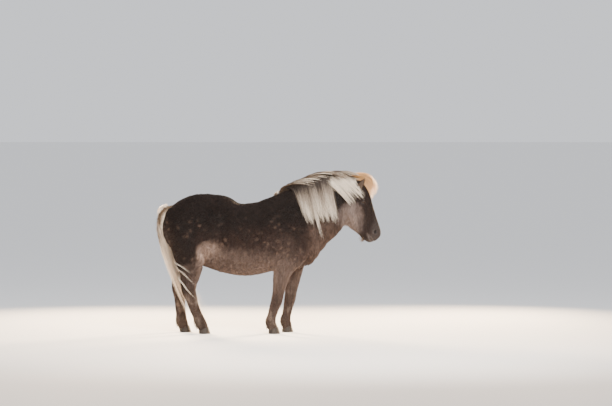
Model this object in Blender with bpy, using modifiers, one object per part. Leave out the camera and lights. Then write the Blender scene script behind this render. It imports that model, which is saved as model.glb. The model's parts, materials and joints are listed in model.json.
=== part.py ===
"""An Icelandic horse in its winter coat, as a still, life-size model that stands on its four hooves.

Units are metres and +Z is up. The horse looks along +X, its right side is at -Y, and its soles lie on Z = 0.
Every surface is the outside of the coat.
"""

import math
import random

import bmesh
import bpy
import numpy as np
from mathutils import Matrix, Vector
from mathutils.bvhtree import BVHTree

GAP = 0.0003  # kept between two nodes that touch
VOXEL = 0.006  # grain of the fused body before it is thinned
RING = 36  # points round each section of the body
BODY_TRIANGLES = 3500  # flesh without the face, before the cuts
SEED = 11
SLIVER = 0.00008  # edges shorter than this are collapsed after a cut or a join
FACE_TRIANGLES = 1700  # on the face and the ears' roots, before the cuts

# A point on each cut between two nodes, and the cut's normal.
NECK_CUT = ((0.340, 0, 1.110), (0.867, 0, 0.497))
HEAD_CUT = ((0.740, 0, 1.330), (0.994, 0, -0.105))
LEG_CUTS = {"front": (0.600, 0.300), "hind": (0.600, 0.420)}  # heights of elbow and knee, stifle and hock
LEG_CUT_SIZE = 0.270

CORONET_HEIGHT = 0.050  # of the hair line over the middle of a hoof
CORONET_SLOPE = 0.40  # rise from heel to toe
HOOF_X = {"front_right": 0.050, "front_left": 0.182, "hind_right": -0.645, "hind_left": -0.845}
HOOF_OUT = 0.127  # middle of every hoof from the middle plane
HOOF_RING = 24
# share of the height, half length, half width, shift to the toe
HOOF_SECTIONS = (
    (0.00, 0.0610, 0.0590, 0.008),
    (0.12, 0.0625, 0.0605, 0.008),
    (0.55, 0.0575, 0.0560, 0.003),
    (1.00, 0.0520, 0.0505, -0.002),
)

EYE_DOWN, EYE_FORWARD = 0.212, 0.048  # place on the face, from the poll
EYE_RADIUS = 0.0215
EYE_DEPTH = 0.0185  # middle of the eyeball below the side of the face
EYE_OPENING = (0.0185, 0.0105, 0.012)  # half the cut between the lids: along, over, and into the head
EYE_UP = 0.22  # how far the eye looks out of the forehead's side
LID_THICKNESS = 0.0045
NOSTRIL = (0.538, 0.046)  # place on the face, as for the eye
NOSTRIL_SIZE = (0.0175, 0.0095, 0.015)  # half its length, width and depth
GROOVE_SIZE = 0.0045  # of the line of the mouth
GROOVE_STEPS = 22

EAR_ROOT = (0.872, 0.054, 1.424)
EAR_LENGTH = 0.160
EAR_RING = 12
EAR_AXIS = (0.58, 0.14, 0.80)
EAR_OPENING = (0.50, 0.80, -0.25)  # the way the cup faces
EAR_CUP = (0.80, 0.012)  # the cup's width as a share of the ear's, and how far forward it is cut
# share of the length, half width, half depth
EAR_SECTIONS = (
    (-0.05, 0.020, 0.018),
    (0.20, 0.028, 0.024),
    (0.40, 0.033, 0.024),
    (0.60, 0.031, 0.020),
    (0.80, 0.021, 0.014),
    (0.93, 0.010, 0.007),
    (1.00, 0.003, 0.003),
)

# Hair leaves its root and turns as it runs: metres along the hair, and its heading there in degrees
# up from +X, seen from the right side.
MANE_TURN = ((0.0, 58), (0.05, 12), (0.10, -22))  # then down at the fall of each lock
FORELOCK_TURN = ((0.0, 36), (0.06, 12), (0.13, -32), (0.21, -78), (0.31, -104))
TAIL_TURN = ((0.0, 200), (0.05, 223), (0.10, 248), (0.20, 270), (0.30, 283), (0.45, 289), (0.85, 293), (1.0, 296))
MANE_LEAN = ((0.0, 0.30), (0.05, 0.60), (0.12, 0.45), (0.22, 0.12))  # metres along the hair, sideways share
FORELOCK_LEAN = ((0.0, 6.0), (0.1, 4.0), (0.3, -2.0))  # metres along the hair, times the root's place across
STRAND_STEPS = {"mane": 6, "forelock": 6, "tail": 8}
FORELOCK_COUNT = 9
FORELOCK_ROOT = (0.880, 0.056, 1.548)  # x, whole spread across, z
FORELOCK_LENGTH = (0.24, 0.33)
FORELOCK_LOCK = (0.046, 0.016)  # width and thickness
TAIL_COUNT = 12
TAIL_LENGTH = (0.55, 1.07)
TAIL_LOCK = (0.050, 0.020)
MANE_THICK = 0.014
LOCK_RISE = 0.5  # width at the root as a share of the full width
LOCK_TIP = 0.08  # width at the tip
LIFT = 0.008  # of forelock and tail over what they lie on
# Locks of the mane: root of the first and the last along X, how many, length and fall of the first,
# length and fall of the last, width, clearance of the skin, and the side to which they fall.
MANE_LOCKS = (
    (0.165, 0.460, 9, 0.50, 71, 0.56, 76, 0.058, 0.010, -1),
    (0.200, 0.430, 4, 0.46, 73, 0.50, 76, 0.052, 0.024, -1),
    (0.300, 0.300, 1, 0.68, 76, 0.68, 76, 0.018, 0.016, -1),
    (0.500, 0.760, 6, 0.44, 68, 0.38, 34, 0.044, 0.010, -1),
    (0.600, 0.790, 3, 0.28, 24, 0.20, 14, 0.050, 0.022, -1),
    (0.120, 0.760, 6, 0.17, 62, 0.22, 50, 0.084, 0.008, 1),
)
CORE_GRAIN = (10, 0.06)  # points round each section of the hair's cores, and the way between sections
CREST_CORE = ((0.10, 0.020), (0.20, 0.034), (0.50, 0.042), (0.78, 0.040), (0.88, 0.024))  # x, half width
COLOURS = {  # base colour and roughness
    "mane": ((0.52, 0.42, 0.30), 0.75),
    "forelock": ((0.52, 0.38, 0.22), 0.75),
    "tail": ((0.52, 0.42, 0.30), 0.75),
    "hoof": ((0.045, 0.038, 0.032), 0.45),
    "eye": ((0.012, 0.008, 0.006), 0.08),
    "coat": ((0.060, 0.038, 0.026), 0.85),
}
FORELOCK_CORE = (
    (0.835, 0, 1.535, 0.018, 0.020, 0.022, 2.0, 2.0),
    (0.870, 0, 1.540, 0.034, 0.040, 0.034, 2.0, 2.0),
    (0.940, 0, 1.535, 0.040, 0.050, 0.038, 2.0, 2.0),
    (0.995, 0, 1.500, 0.034, 0.042, 0.034, 2.0, 2.0),
    (1.020, 0, 1.440, 0.014, 0.016, 0.020, 2.0, 2.0),
)
DOCK = (
    (-0.930, 0, 1.265, 0.030, 0.030, 0.030, 2.0, 2.0),
    (-0.995, 0, 1.262, 0.036, 0.036, 0.038, 2.0, 2.0),
    (-1.042, 0, 1.230, 0.036, 0.036, 0.038, 2.0, 2.0),
    (-1.072, 0, 1.160, 0.032, 0.032, 0.034, 2.0, 2.0),
    (-1.084, 0, 1.075, 0.024, 0.024, 0.026, 2.0, 2.0),
    (-1.078, 0, 1.000, 0.010, 0.010, 0.012, 2.0, 2.0),
)

# Sections run tail to nose or top to bottom. Each row is
# x, y, z of the middle, reach to the top or front, reach to the belly or back, half width, and two
# roundness powers (2 is an ellipse, more is boxier) for the top or front half and the other half.
TORSO = (
    (-1.055, 0, 1.095, 0.055, 0.055, 0.050, 2.0, 2.0),  # seat bone
    (-1.030, 0, 1.090, 0.135, 0.125, 0.130, 2.0, 2.0),
    (-0.960, 0, 1.080, 0.213, 0.235, 0.205, 2.0, 2.0),  # root of the dock
    (-0.860, 0, 1.070, 0.285, 0.300, 0.250, 2.0, 2.0),
    (-0.690, 0, 1.050, 0.352, 0.345, 0.278, 1.9, 2.1),  # croup
    (-0.520, 0, 1.000, 0.384, 0.355, 0.288, 1.9, 2.1),  # point of the hip
    (-0.350, 0, 0.955, 0.352, 0.365, 0.306, 2.0, 2.1),  # loin and flank
    (-0.210, 0, 0.935, 0.368, 0.363, 0.316, 2.0, 2.1),  # widest rib
    (-0.070, 0, 0.935, 0.384, 0.340, 0.308, 1.9, 2.1),
    (0.050, 0, 0.945, 0.415, 0.317, 0.282, 1.8, 2.1),  # girth
    (0.170, 0, 0.955, 0.440, 0.305, 0.250, 1.7, 2.1),  # withers
    (0.290, 0, 0.950, 0.380, 0.290, 0.228, 1.8, 2.0),
    (0.390, 0, 0.930, 0.310, 0.268, 0.205, 2.0, 2.0),  # point of the shoulder
    (0.460, 0, 0.925, 0.250, 0.196, 0.160, 2.0, 2.0),
    (0.505, 0, 0.935, 0.130, 0.100, 0.095, 2.0, 2.0),  # breast
)
NECK = (
    (0.060, 0, 0.950, 0.330, 0.300, 0.210, 1.8, 2.0),
    (0.240, 0, 1.085, 0.345, 0.350, 0.195, 1.7, 2.0),  # base of the neck
    (0.410, 0, 1.210, 0.305, 0.365, 0.162, 1.7, 2.0),
    (0.560, 0, 1.300, 0.268, 0.338, 0.134, 1.7, 2.0),
    (0.680, 0, 1.355, 0.222, 0.288, 0.116, 1.8, 2.0),
    (0.780, 0, 1.385, 0.178, 0.228, 0.100, 1.9, 2.0),  # throatlatch
    (0.850, 0, 1.400, 0.120, 0.120, 0.075, 2.0, 2.0),
)
# The head hangs from the poll. Its rows are the way down the face from the poll, then as above.
POLL = Vector((0.820, 0, 1.490))
FACE_SLOPE = math.radians(67.2)  # below the horizon
HEAD = (
    (-0.040, 0.040, 0.060, 0.035, 2.0, 2.0),  # top of the poll
    (-0.005, 0.088, 0.110, 0.064, 2.0, 2.0),
    (0.080, 0.140, 0.140, 0.088, 2.2, 2.1),  # forehead
    (0.175, 0.146, 0.185, 0.113, 2.2, 2.3),  # eyes
    (0.270, 0.132, 0.212, 0.104, 2.0, 2.5),  # round of the cheek
    (0.360, 0.122, 0.195, 0.080, 2.0, 2.3),
    (0.440, 0.115, 0.150, 0.063, 2.2, 2.0),  # bars of the jaw
    (0.510, 0.110, 0.115, 0.061, 2.4, 2.0),  # nostrils
    (0.570, 0.098, 0.085, 0.059, 2.4, 2.1),  # lips
    (0.608, 0.066, 0.058, 0.046, 2.2, 2.1),
    (0.622, 0.030, 0.026, 0.025, 2.0, 2.0),
)
# Each leg: x, distance from the middle plane, z, then as above.
FRONT_RIGHT = (
    (0.245, 0.120, 1.060, 0.110, 0.130, 0.080, 2.0, 2.0),  # shoulder blade
    (0.270, 0.150, 0.930, 0.165, 0.170, 0.088, 2.0, 2.0),
    (0.225, 0.158, 0.800, 0.165, 0.150, 0.094, 2.0, 2.0),  # arm
    (0.165, 0.152, 0.690, 0.125, 0.115, 0.086, 2.0, 2.0),  # elbow
    (0.132, 0.146, 0.600, 0.098, 0.085, 0.075, 2.0, 2.0),
    (0.118, 0.141, 0.510, 0.077, 0.070, 0.063, 2.0, 2.0),  # forearm
    (0.104, 0.136, 0.420, 0.063, 0.060, 0.055, 2.0, 2.0),
    (0.084, 0.133, 0.325, 0.060, 0.056, 0.055, 2.3, 2.1),  # knee
    (0.062, 0.131, 0.250, 0.050, 0.052, 0.046, 2.1, 2.0),
    (0.042, 0.129, 0.180, 0.046, 0.050, 0.042, 2.0, 2.0),  # cannon
    (0.030, 0.128, 0.115, 0.052, 0.058, 0.050, 2.0, 2.0),  # fetlock
    (0.044, 0.127, 0.068, 0.052, 0.050, 0.049, 2.0, 2.0),  # pastern
    (0.056, 0.127, 0.020, 0.050, 0.048, 0.048, 2.0, 2.0),
)
FRONT_LEFT = (
    (0.255, 0.120, 1.060, 0.110, 0.130, 0.080, 2.0, 2.0),
    (0.290, 0.150, 0.930, 0.165, 0.170, 0.088, 2.0, 2.0),
    (0.275, 0.158, 0.800, 0.160, 0.155, 0.094, 2.0, 2.0),
    (0.252, 0.152, 0.690, 0.125, 0.120, 0.086, 2.0, 2.0),
    (0.246, 0.146, 0.600, 0.098, 0.088, 0.075, 2.0, 2.0),
    (0.238, 0.141, 0.510, 0.080, 0.072, 0.063, 2.0, 2.0),
    (0.228, 0.136, 0.420, 0.065, 0.060, 0.055, 2.0, 2.0),
    (0.214, 0.133, 0.325, 0.060, 0.056, 0.055, 2.3, 2.1),
    (0.200, 0.131, 0.250, 0.050, 0.051, 0.046, 2.1, 2.0),
    (0.187, 0.129, 0.180, 0.046, 0.050, 0.042, 2.0, 2.0),
    (0.176, 0.128, 0.115, 0.052, 0.058, 0.050, 2.0, 2.0),
    (0.186, 0.127, 0.068, 0.052, 0.050, 0.049, 2.0, 2.0),
    (0.196, 0.127, 0.020, 0.050, 0.048, 0.048, 2.0, 2.0),
)
HIND_RIGHT = (
    (-0.770, 0.115, 1.180, 0.150, 0.150, 0.110, 2.0, 2.0),  # hip
    (-0.800, 0.145, 1.040, 0.205, 0.205, 0.122, 2.0, 2.0),  # thigh
    (-0.785, 0.160, 0.900, 0.195, 0.190, 0.118, 2.0, 2.0),
    (-0.770, 0.162, 0.780, 0.160, 0.170, 0.103, 2.0, 2.0),  # stifle
    (-0.768, 0.154, 0.680, 0.130, 0.142, 0.086, 2.0, 2.0),
    (-0.776, 0.146, 0.590, 0.106, 0.108, 0.069, 2.0, 2.0),  # gaskin
    (-0.788, 0.139, 0.510, 0.086, 0.085, 0.058, 2.0, 2.0),
    (-0.786, 0.134, 0.435, 0.071, 0.078, 0.056, 2.1, 1.8),  # hock
    (-0.766, 0.132, 0.365, 0.061, 0.062, 0.051, 2.0, 2.0),
    (-0.738, 0.130, 0.270, 0.054, 0.054, 0.044, 2.0, 2.0),  # cannon
    (-0.700, 0.129, 0.180, 0.052, 0.053, 0.044, 2.0, 2.0),
    (-0.674, 0.129, 0.120, 0.057, 0.060, 0.052, 2.0, 2.0),  # fetlock
    (-0.652, 0.129, 0.068, 0.055, 0.051, 0.050, 2.0, 2.0),  # pastern
    (-0.640, 0.129, 0.020, 0.050, 0.048, 0.048, 2.0, 2.0),
)
HIND_LEFT = (
    (-0.780, 0.115, 1.180, 0.150, 0.150, 0.110, 2.0, 2.0),
    (-0.810, 0.145, 1.040, 0.205, 0.205, 0.122, 2.0, 2.0),
    (-0.815, 0.160, 0.900, 0.195, 0.190, 0.118, 2.0, 2.0),
    (-0.822, 0.162, 0.780, 0.165, 0.165, 0.103, 2.0, 2.0),
    (-0.840, 0.154, 0.680, 0.140, 0.135, 0.086, 2.0, 2.0),
    (-0.864, 0.146, 0.590, 0.112, 0.104, 0.069, 2.0, 2.0),
    (-0.886, 0.139, 0.510, 0.088, 0.084, 0.058, 2.0, 2.0),
    (-0.894, 0.134, 0.435, 0.070, 0.076, 0.056, 2.1, 1.8),
    (-0.890, 0.132, 0.365, 0.059, 0.060, 0.051, 2.0, 2.0),
    (-0.884, 0.130, 0.270, 0.052, 0.054, 0.044, 2.0, 2.0),
    (-0.876, 0.129, 0.180, 0.052, 0.053, 0.044, 2.0, 2.0),
    (-0.870, 0.129, 0.120, 0.056, 0.060, 0.052, 2.0, 2.0),
    (-0.856, 0.129, 0.068, 0.055, 0.051, 0.050, 2.0, 2.0),
    (-0.846, 0.129, 0.020, 0.050, 0.048, 0.048, 2.0, 2.0),
)
LEGS = {
    "front_right": (FRONT_RIGHT, -1),
    "front_left": (FRONT_LEFT, 1),
    "hind_right": (HIND_RIGHT, -1),
    "hind_left": (HIND_LEFT, 1),
}


def clear_scene():
    for obj in list(bpy.data.objects):
        bpy.data.objects.remove(obj)


def resample(rows, spacing):
    """Rows read off a smooth curve through the given rows, about spacing apart."""
    rows = np.array(rows, float)
    steps = np.linalg.norm(np.diff(rows[:, :3], axis=0), axis=1)
    run = np.concatenate([[0.0], np.cumsum(steps)])
    slope = np.gradient(rows, run, axis=0)
    at = np.linspace(0, run[-1], max(6, round(run[-1] / spacing)))
    i = np.clip(np.searchsorted(run, at, "right") - 1, 0, len(run) - 2)
    length = (run[i + 1] - run[i])[:, None]
    t = (at - run[i])[:, None] / length
    return (
        (2 * t**3 - 3 * t**2 + 1) * rows[i]
        + (t**3 - 2 * t**2 + t) * length * slope[i]
        + (3 * t**2 - 2 * t**3) * rows[i + 1]
        + (t**3 - t**2) * length * slope[i + 1]
    )


def mesh_object(name, points, faces):
    mesh = bpy.data.meshes.new(name)
    mesh.from_pydata([tuple(p) for p in points], [], faces)
    mesh.update()
    obj = bpy.data.objects.new(name, mesh)
    bpy.context.scene.collection.objects.link(obj)
    return obj


def tube_faces(rings, ring):
    """Quads between rings of points laid one after the other, with a fan over each end."""
    faces = []
    for i in range(rings - 1):
        for j in range(ring):
            k = (j + 1) % ring
            faces.append((i * ring + j, i * ring + k, (i + 1) * ring + k, (i + 1) * ring + j))
    first, last = rings * ring, rings * ring + 1
    for j in range(ring):
        k = (j + 1) % ring
        faces.append((first, k, j))
        faces.append((last, (rings - 1) * ring + j, (rings - 1) * ring + k))
    return faces


def loft(name, stations, side=1, ring=RING, spacing=0.02):
    """A closed body through sections that stand square to their path in the plane of X and Z."""
    rows = resample(stations, spacing)
    rows[:, 1] *= side
    along = np.gradient(rows[:, :3], axis=0)
    along[:, 1] = 0
    along /= np.linalg.norm(along, axis=1)[:, None]
    over = np.stack([-along[:, 2], 0 * along[:, 0], along[:, 0]], axis=1)
    angle = np.arange(ring) * math.tau / ring
    points = []
    for row, up in zip(rows, over):
        middle, (top, bottom, half, top_power, bottom_power) = row[:3], row[3:]
        power = np.where(np.sin(angle) >= 0, top_power, bottom_power)
        reach = np.where(np.sin(angle) >= 0, top, bottom)
        across = half * np.sign(np.cos(angle)) * np.abs(np.cos(angle)) ** (2 / power)
        height = reach * np.sign(np.sin(angle)) * np.abs(np.sin(angle)) ** (2 / power)
        section = middle + height[:, None] * up
        section[:, 1] += across
        points.extend(section)
    points.extend([rows[0, :3], rows[-1, :3]])
    obj = mesh_object(name, points, tube_faces(len(rows), ring))
    recalculated(obj.data)
    return obj


def recalculated(mesh):
    """Turns every face outwards and splits the faces that aren't flat."""
    fix = bmesh.new()
    fix.from_mesh(mesh)
    bmesh.ops.recalc_face_normals(fix, faces=fix.faces)
    bmesh.ops.triangulate(fix, faces=fix.faces)
    fix.to_mesh(mesh)
    fix.free()


def head_frame():
    """Directions down the face and out of the forehead."""
    down = Vector((math.cos(FACE_SLOPE), 0, -math.sin(FACE_SLOPE)))
    return down, Vector((-down.z, 0, down.x))


def head_point(way_down, forward, side=0.0):
    down, out = head_frame()
    return POLL + down * way_down + out * forward + Vector((0, side, 0))


def head_stations():
    rows = []
    for way_down, *sizes in HEAD:
        middle = head_point(way_down, 0)
        rows.append((middle.x, 0, middle.z, *sizes))
    return rows


def evaluated(obj, keep_name=None):
    """The object as its modifiers leave it, as a new mesh object; the old one is removed."""
    graph = bpy.context.evaluated_depsgraph_get()
    mesh = bpy.data.meshes.new_from_object(obj.evaluated_get(graph))
    mesh.transform(obj.matrix_world)
    name = keep_name or obj.name
    bpy.data.objects.remove(obj)
    fresh = bpy.data.objects.new(name, mesh)
    bpy.context.scene.collection.objects.link(fresh)
    return fresh


def joined(objects, name):
    """One object holding all the given meshes, which are removed."""
    gather = bmesh.new()
    for obj in objects:
        obj.data.transform(obj.matrix_world)
        gather.from_mesh(obj.data)
        bpy.data.objects.remove(obj)
    mesh = bpy.data.meshes.new(name)
    gather.to_mesh(mesh)
    gather.free()
    obj = bpy.data.objects.new(name, mesh)
    bpy.context.scene.collection.objects.link(obj)
    return obj


def coordinates(mesh):
    flat = np.empty(len(mesh.vertices) * 3)
    mesh.vertices.foreach_get("co", flat)
    return flat.reshape(-1, 3)


def normals(mesh):
    flat = np.empty(len(mesh.vertices) * 3)
    mesh.vertex_normals.foreach_get("vector", flat)
    return flat.reshape(-1, 3)


def store(mesh, points):
    mesh.vertices.foreach_set("co", points.ravel())
    mesh.update()


def relax(mesh, rounds, share):
    """Moves each point towards the middle of its neighbours; share, from 0 to 1, says how far."""
    edges = np.empty(len(mesh.edges) * 2, int)
    mesh.edges.foreach_get("vertices", edges)
    a, b = edges.reshape(-1, 2).T
    count = len(mesh.vertices)
    degree = np.bincount(a, minlength=count) + np.bincount(b, minlength=count)
    points = coordinates(mesh)
    for _ in range(rounds):
        middle = np.stack(
            [
                np.bincount(a, points[b, k], count) + np.bincount(b, points[a, k], count)
                for k in range(3)
            ],
            axis=1,
        )
        points += share[:, None] * (middle / degree[:, None] - points)
    store(mesh, points)


def distance_to_path(points, path):
    """Distance of each point to a path of straight runs."""
    path = [np.array(p, float) for p in path]
    nearest = np.linalg.norm(points - path[0], axis=1)
    for start, end in zip(path, path[1:]):
        run = end - start
        t = np.clip((points - start) @ run / (run @ run), 0, 1)
        nearest = np.minimum(nearest, np.linalg.norm(points - start - t[:, None] * run, axis=1))
    return nearest


def brush(mesh, path, radius, height):
    """Raises, or with a negative height sinks, the surface along its normals near a path."""
    points = coordinates(mesh)
    near = np.clip(1 - (distance_to_path(points, path) / radius) ** 2, 0, 1) ** 2
    store(mesh, points + normals(mesh) * (height * near)[:, None])


def nearness_to_head(points):
    """1 on the face, falling to 0 on the neck."""
    return np.clip((points[:, 0] - 0.72) / 0.10, 0, 1) * np.clip((points[:, 2] - 0.80) / 0.05, 0, 1)


def sculpt_head(mesh):
    """Bones and hollows of the face, on both sides."""
    for side in (-1, 1):
        # hollow over the eye, brow, and hollow below the eye
        brush(mesh, [head_point(0.130, 0.045, side * 0.100)], 0.045, -0.007)
        brush(mesh, [head_point(0.175, 0.075, side * 0.095), head_point(0.190, 0.030, side * 0.105)], 0.036, 0.006)
        brush(mesh, [head_point(0.265, 0.085, side * 0.080), head_point(0.350, 0.080, side * 0.070)], 0.055, -0.007)
        # crest of the cheekbone, and the round of the jaw behind it
        brush(mesh, [head_point(0.235, 0.022, side * 0.105), head_point(0.325, 0.018, side * 0.085)], 0.032, 0.006)
        brush(mesh, [head_point(0.235, -0.110, side * 0.095), head_point(0.300, -0.100, side * 0.090)], 0.090, 0.008)
        # side of the nose, drawn in behind the nostril
        brush(mesh, [head_point(0.430, 0.010, side * 0.065), head_point(0.470, -0.020, side * 0.060)], 0.050, -0.007)
        # wing of the nostril, and the lips
        brush(mesh, nostril_rim(side), 0.018, 0.007)
        brush(mesh, [head_point(0.575, 0.005, side * 0.052), head_point(0.605, 0.020, side * 0.034)], 0.028, 0.004)
        brush(mesh, [head_point(0.555, -0.062, side * 0.045), head_point(0.595, -0.042, side * 0.026)], 0.030, 0.006)
    # chin
    brush(mesh, [head_point(0.545, -0.080)], 0.045, 0.008)


def nostril_rim(side):
    """Points round one nostril."""
    down, forward = NOSTRIL
    around = []
    for k in range(11):
        turn = math.tau * k / 10
        around.append(head_point(down + 0.024 * math.cos(turn), forward + 0.020 * math.sin(turn), side * 0.062))
    return around


def mouth_line():
    """From one corner of the mouth round the front to the other."""
    right = [
        head_point(0.520, -0.036, -0.070),
        head_point(0.555, -0.030, -0.064),
        head_point(0.590, -0.018, -0.050),
        head_point(0.615, -0.008, -0.028),
        head_point(0.630, -0.004, 0.0),
    ]
    return right + [Vector((p.x, -p.y, p.z)) for p in reversed(right[:-1])]


def sculpt_body(mesh):
    """Muscle and bone that show through the coat."""
    for side in (-1, 1):
        # groove behind the shoulder, and hollow of the flank
        brush(mesh, [(0.06, side * 0.27, 1.10), (0.02, side * 0.29, 0.80)], 0.10, -0.010)
        brush(mesh, [(-0.46, side * 0.28, 1.12), (-0.50, side * 0.27, 0.90)], 0.12, -0.014)
        # groove of the neck above the windpipe
        brush(mesh, [(0.66, side * 0.12, 1.22), (0.44, side * 0.17, 1.02)], 0.06, -0.008)
        # hip bone
        brush(mesh, [(-0.50, side * 0.22, 1.26)], 0.10, 0.010)


def fused_body():
    """The whole horse without hooves, ears and hair, as one fine mesh."""
    pieces = [loft("torso_form", TORSO), loft("neck_form", NECK), loft("head_form", head_stations())]
    for name, (stations, side) in LEGS.items():
        pieces.append(loft(name + "_form", stations, side))
    body = joined(pieces, "body")
    remesh = body.modifiers.new("fuse", "REMESH")
    remesh.mode = "VOXEL"
    remesh.voxel_size = VOXEL
    body = evaluated(body)
    points = coordinates(body.data)
    face = nearness_to_head(points)
    low = np.clip((0.62 - points[:, 2]) / 0.10, 0, 1)
    relax(body.data, 40, 0.5 * (1 - face) * (1 - low))
    relax(body.data, 8, np.full(len(points), 0.5))
    sculpt_body(body.data)
    sculpt_head(body.data)
    relax(body.data, 2, np.full(len(points), 0.4))
    return body


def thinned(body):
    """The fine body with far fewer triangles, first off the body and then off the face."""
    for keep_face, target in ((True, BODY_TRIANGLES), (False, FACE_TRIANGLES)):
        face = nearness_to_head(coordinates(body.data)) > 0.5
        kept = body.vertex_groups.new(name="kept")
        free = np.flatnonzero(face != keep_face)
        kept.add(free.tolist(), 1.0, "REPLACE")
        body.data.calc_loop_triangles()
        corners = np.empty(len(body.data.loop_triangles) * 3, int)
        body.data.loop_triangles.foreach_get("vertices", corners)
        on_face = face[corners.reshape(-1, 3)].all(1).sum()
        total = len(body.data.loop_triangles)
        thin = body.modifiers.new("thin", "DECIMATE")
        thin.vertex_group = "kept"
        thin.use_collapse_triangulate = True
        thin.ratio = (target + (on_face if keep_face else total - on_face)) / total
        body = evaluated(body, "body")
        body.vertex_groups.clear()
    return body


def combined(name, target, others, operation, solver="MANIFOLD"):
    """Target joined with, or cut by, the other closed meshes, which are removed."""
    hold = bpy.data.collections.new(name + "_pieces")
    bpy.context.scene.collection.children.link(hold)
    for obj in others:
        for home in list(obj.users_collection):
            home.objects.unlink(obj)
        hold.objects.link(obj)
    boolean = target.modifiers.new(operation.lower(), "BOOLEAN")
    boolean.operation = operation
    boolean.operand_type = "COLLECTION"
    boolean.collection = hold
    boolean.solver = solver
    result = evaluated(target, name)
    for obj in list(hold.objects):
        bpy.data.objects.remove(obj)
    bpy.data.collections.remove(hold)
    split = bmesh.new()
    split.from_mesh(result.data)
    bmesh.ops.triangulate(split, faces=split.faces)
    split.to_mesh(result.data)
    split.free()
    return result


def islands(obj):
    """The separate closed surfaces of a mesh, as (volume, middle, bmesh)."""
    whole = bmesh.new()
    whole.from_mesh(obj.data)
    whole.faces.ensure_lookup_table()
    seen, found = set(), []
    for start in whole.faces:
        if start.index in seen:
            continue
        group, front = {start.index}, [start]
        while front:
            for edge in front.pop().edges:
                for face in edge.link_faces:
                    if face.index not in group:
                        group.add(face.index)
                        front.append(face)
        seen |= group
        piece = whole.copy()
        lost = [f for f in piece.faces if f.index not in group]
        bmesh.ops.delete(piece, geom=lost, context="FACES")
        middle = sum((v.co for v in piece.verts), Vector()) / len(piece.verts)
        found.append((piece.calc_volume(signed=True), middle, piece))
    whole.free()
    return found


def object_from(piece, name):
    mesh = bpy.data.meshes.new(name)
    piece.to_mesh(mesh)
    piece.free()
    obj = bpy.data.objects.new(name, mesh)
    bpy.context.scene.collection.objects.link(obj)
    return obj


def largest(obj):
    """The object with only its largest closed surface left, and no slivers on it."""
    found = sorted(islands(obj), key=lambda item: -item[0])
    name = obj.name
    dropped = sum(abs(volume) for volume, _, _ in found[1:])
    if dropped > 1e-6:
        print(name, "loses", len(found) - 1, "scraps of", round(dropped * 1e6, 1), "cm3 in all")
    for _, _, piece in found[1:]:
        piece.free()
    bpy.data.objects.remove(obj)
    piece = found[0][2]
    for reach in (SLIVER, SLIVER / 3, SLIVER / 10):
        trial = piece.copy()
        bmesh.ops.dissolve_degenerate(trial, dist=reach, edges=trial.edges)
        if all(e.is_manifold for e in trial.edges) and all(v.is_manifold for v in trial.verts):
            piece.free()
            piece = trial
            break
        trial.free()
    return object_from(piece, name)


def slab(name, middle, normal, length, width):
    """A box GAP thick, square to normal, to part two nodes."""
    bpy.ops.mesh.primitive_cube_add(size=1)
    obj = bpy.context.object
    obj.name = name
    turn = Vector(normal).to_track_quat("Z", "Y").to_matrix().to_4x4()
    scale = Matrix.Diagonal((length, width, GAP, 1))
    obj.data.transform(Matrix.Translation(middle) @ turn @ scale)
    return obj


def coronet_plane(hoof_x):
    """A point and the normal of the plane where a hoof meets its hair."""
    return Vector((hoof_x, 0, CORONET_HEIGHT)), Vector((-CORONET_SLOPE, 0, 1)).normalized()


def cut_apart(body):
    """Parts the body into its nodes with thin cuts."""
    slabs = [slab("cut_neck", *NECK_CUT, 1.0, 1.0), slab("cut_head", *HEAD_CUT, 0.8, 0.8)]
    labels = {"torso": (-0.2, 0, 0.98), "neck": (0.48, 0, 1.24), "head": (0.93, 0, 1.25)}
    for leg, (stations, side) in LEGS.items():
        upper, lower = LEG_CUTS[leg.split("_")[0]]
        for cut, height in (("top", upper), ("middle", lower)):
            x, y = leg_middle(stations, height)
            middle = (x, side * (y + 0.01), height)
            slabs.append(slab(f"cut_{leg}_{cut}", middle, (0, 0, 1), LEG_CUT_SIZE, LEG_CUT_SIZE))
        point, normal = coronet_plane(HOOF_X[leg])
        slabs.append(slab(f"cut_{leg}_hoof", point + Vector((0, side * HOOF_OUT, 0)), normal, 0.2, 0.2))
        for node, height in (("upper", (upper + lower) / 2), ("lower", lower / 2 + 0.02), ("lost", 0.035)):
            x, y = leg_middle(stations, height)
            labels[f"leg_{leg}_{node}"] = (x, side * y, height)
    body = combined("body", body, slabs, "DIFFERENCE")
    nodes = {}
    for volume, middle, piece in islands(body):
        name = min(labels, key=lambda label: (Vector(labels[label]) - middle).length)
        if name.endswith("lost") or volume < 1e-6:
            piece.free()
        else:
            nodes[name] = object_from(piece, name)
    bpy.data.objects.remove(body)
    return nodes


def leg_middle(stations, height):
    """Where the middle of a leg is at a height: x, and the distance from the middle plane."""
    rows = np.array(stations)
    order = np.argsort(rows[:, 2])
    return tuple(float(np.interp(height, rows[order, 2], rows[order, k])) for k in (0, 1))


def hoof(leg):
    """A hoof on the floor, with its top on the plane of the coronet."""
    stations, side = LEGS[leg]
    x, y = HOOF_X[leg], side * HOOF_OUT
    angle = np.arange(HOOF_RING) * math.tau / HOOF_RING
    heel = np.where(np.cos(angle) < 0, 0.86, 1.0)  # the heels are cut off flatter than the toe
    rings = []
    for height, long, wide, toe in HOOF_SECTIONS:
        ring = np.zeros((HOOF_RING, 3))
        ring[:, 0] = x + toe + long * np.cos(angle) * heel
        ring[:, 1] = y + wide * np.sin(angle)
        top = CORONET_HEIGHT + CORONET_SLOPE * (ring[:, 0] - x) - GAP
        ring[:, 2] = top * height
        rings.append(ring)
    points = np.concatenate(rings + [rings[0].mean(0)[None], rings[-1].mean(0)[None]])
    return mesh_object("hoof_" + leg, points, tube_faces(len(rings), HOOF_RING))


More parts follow.
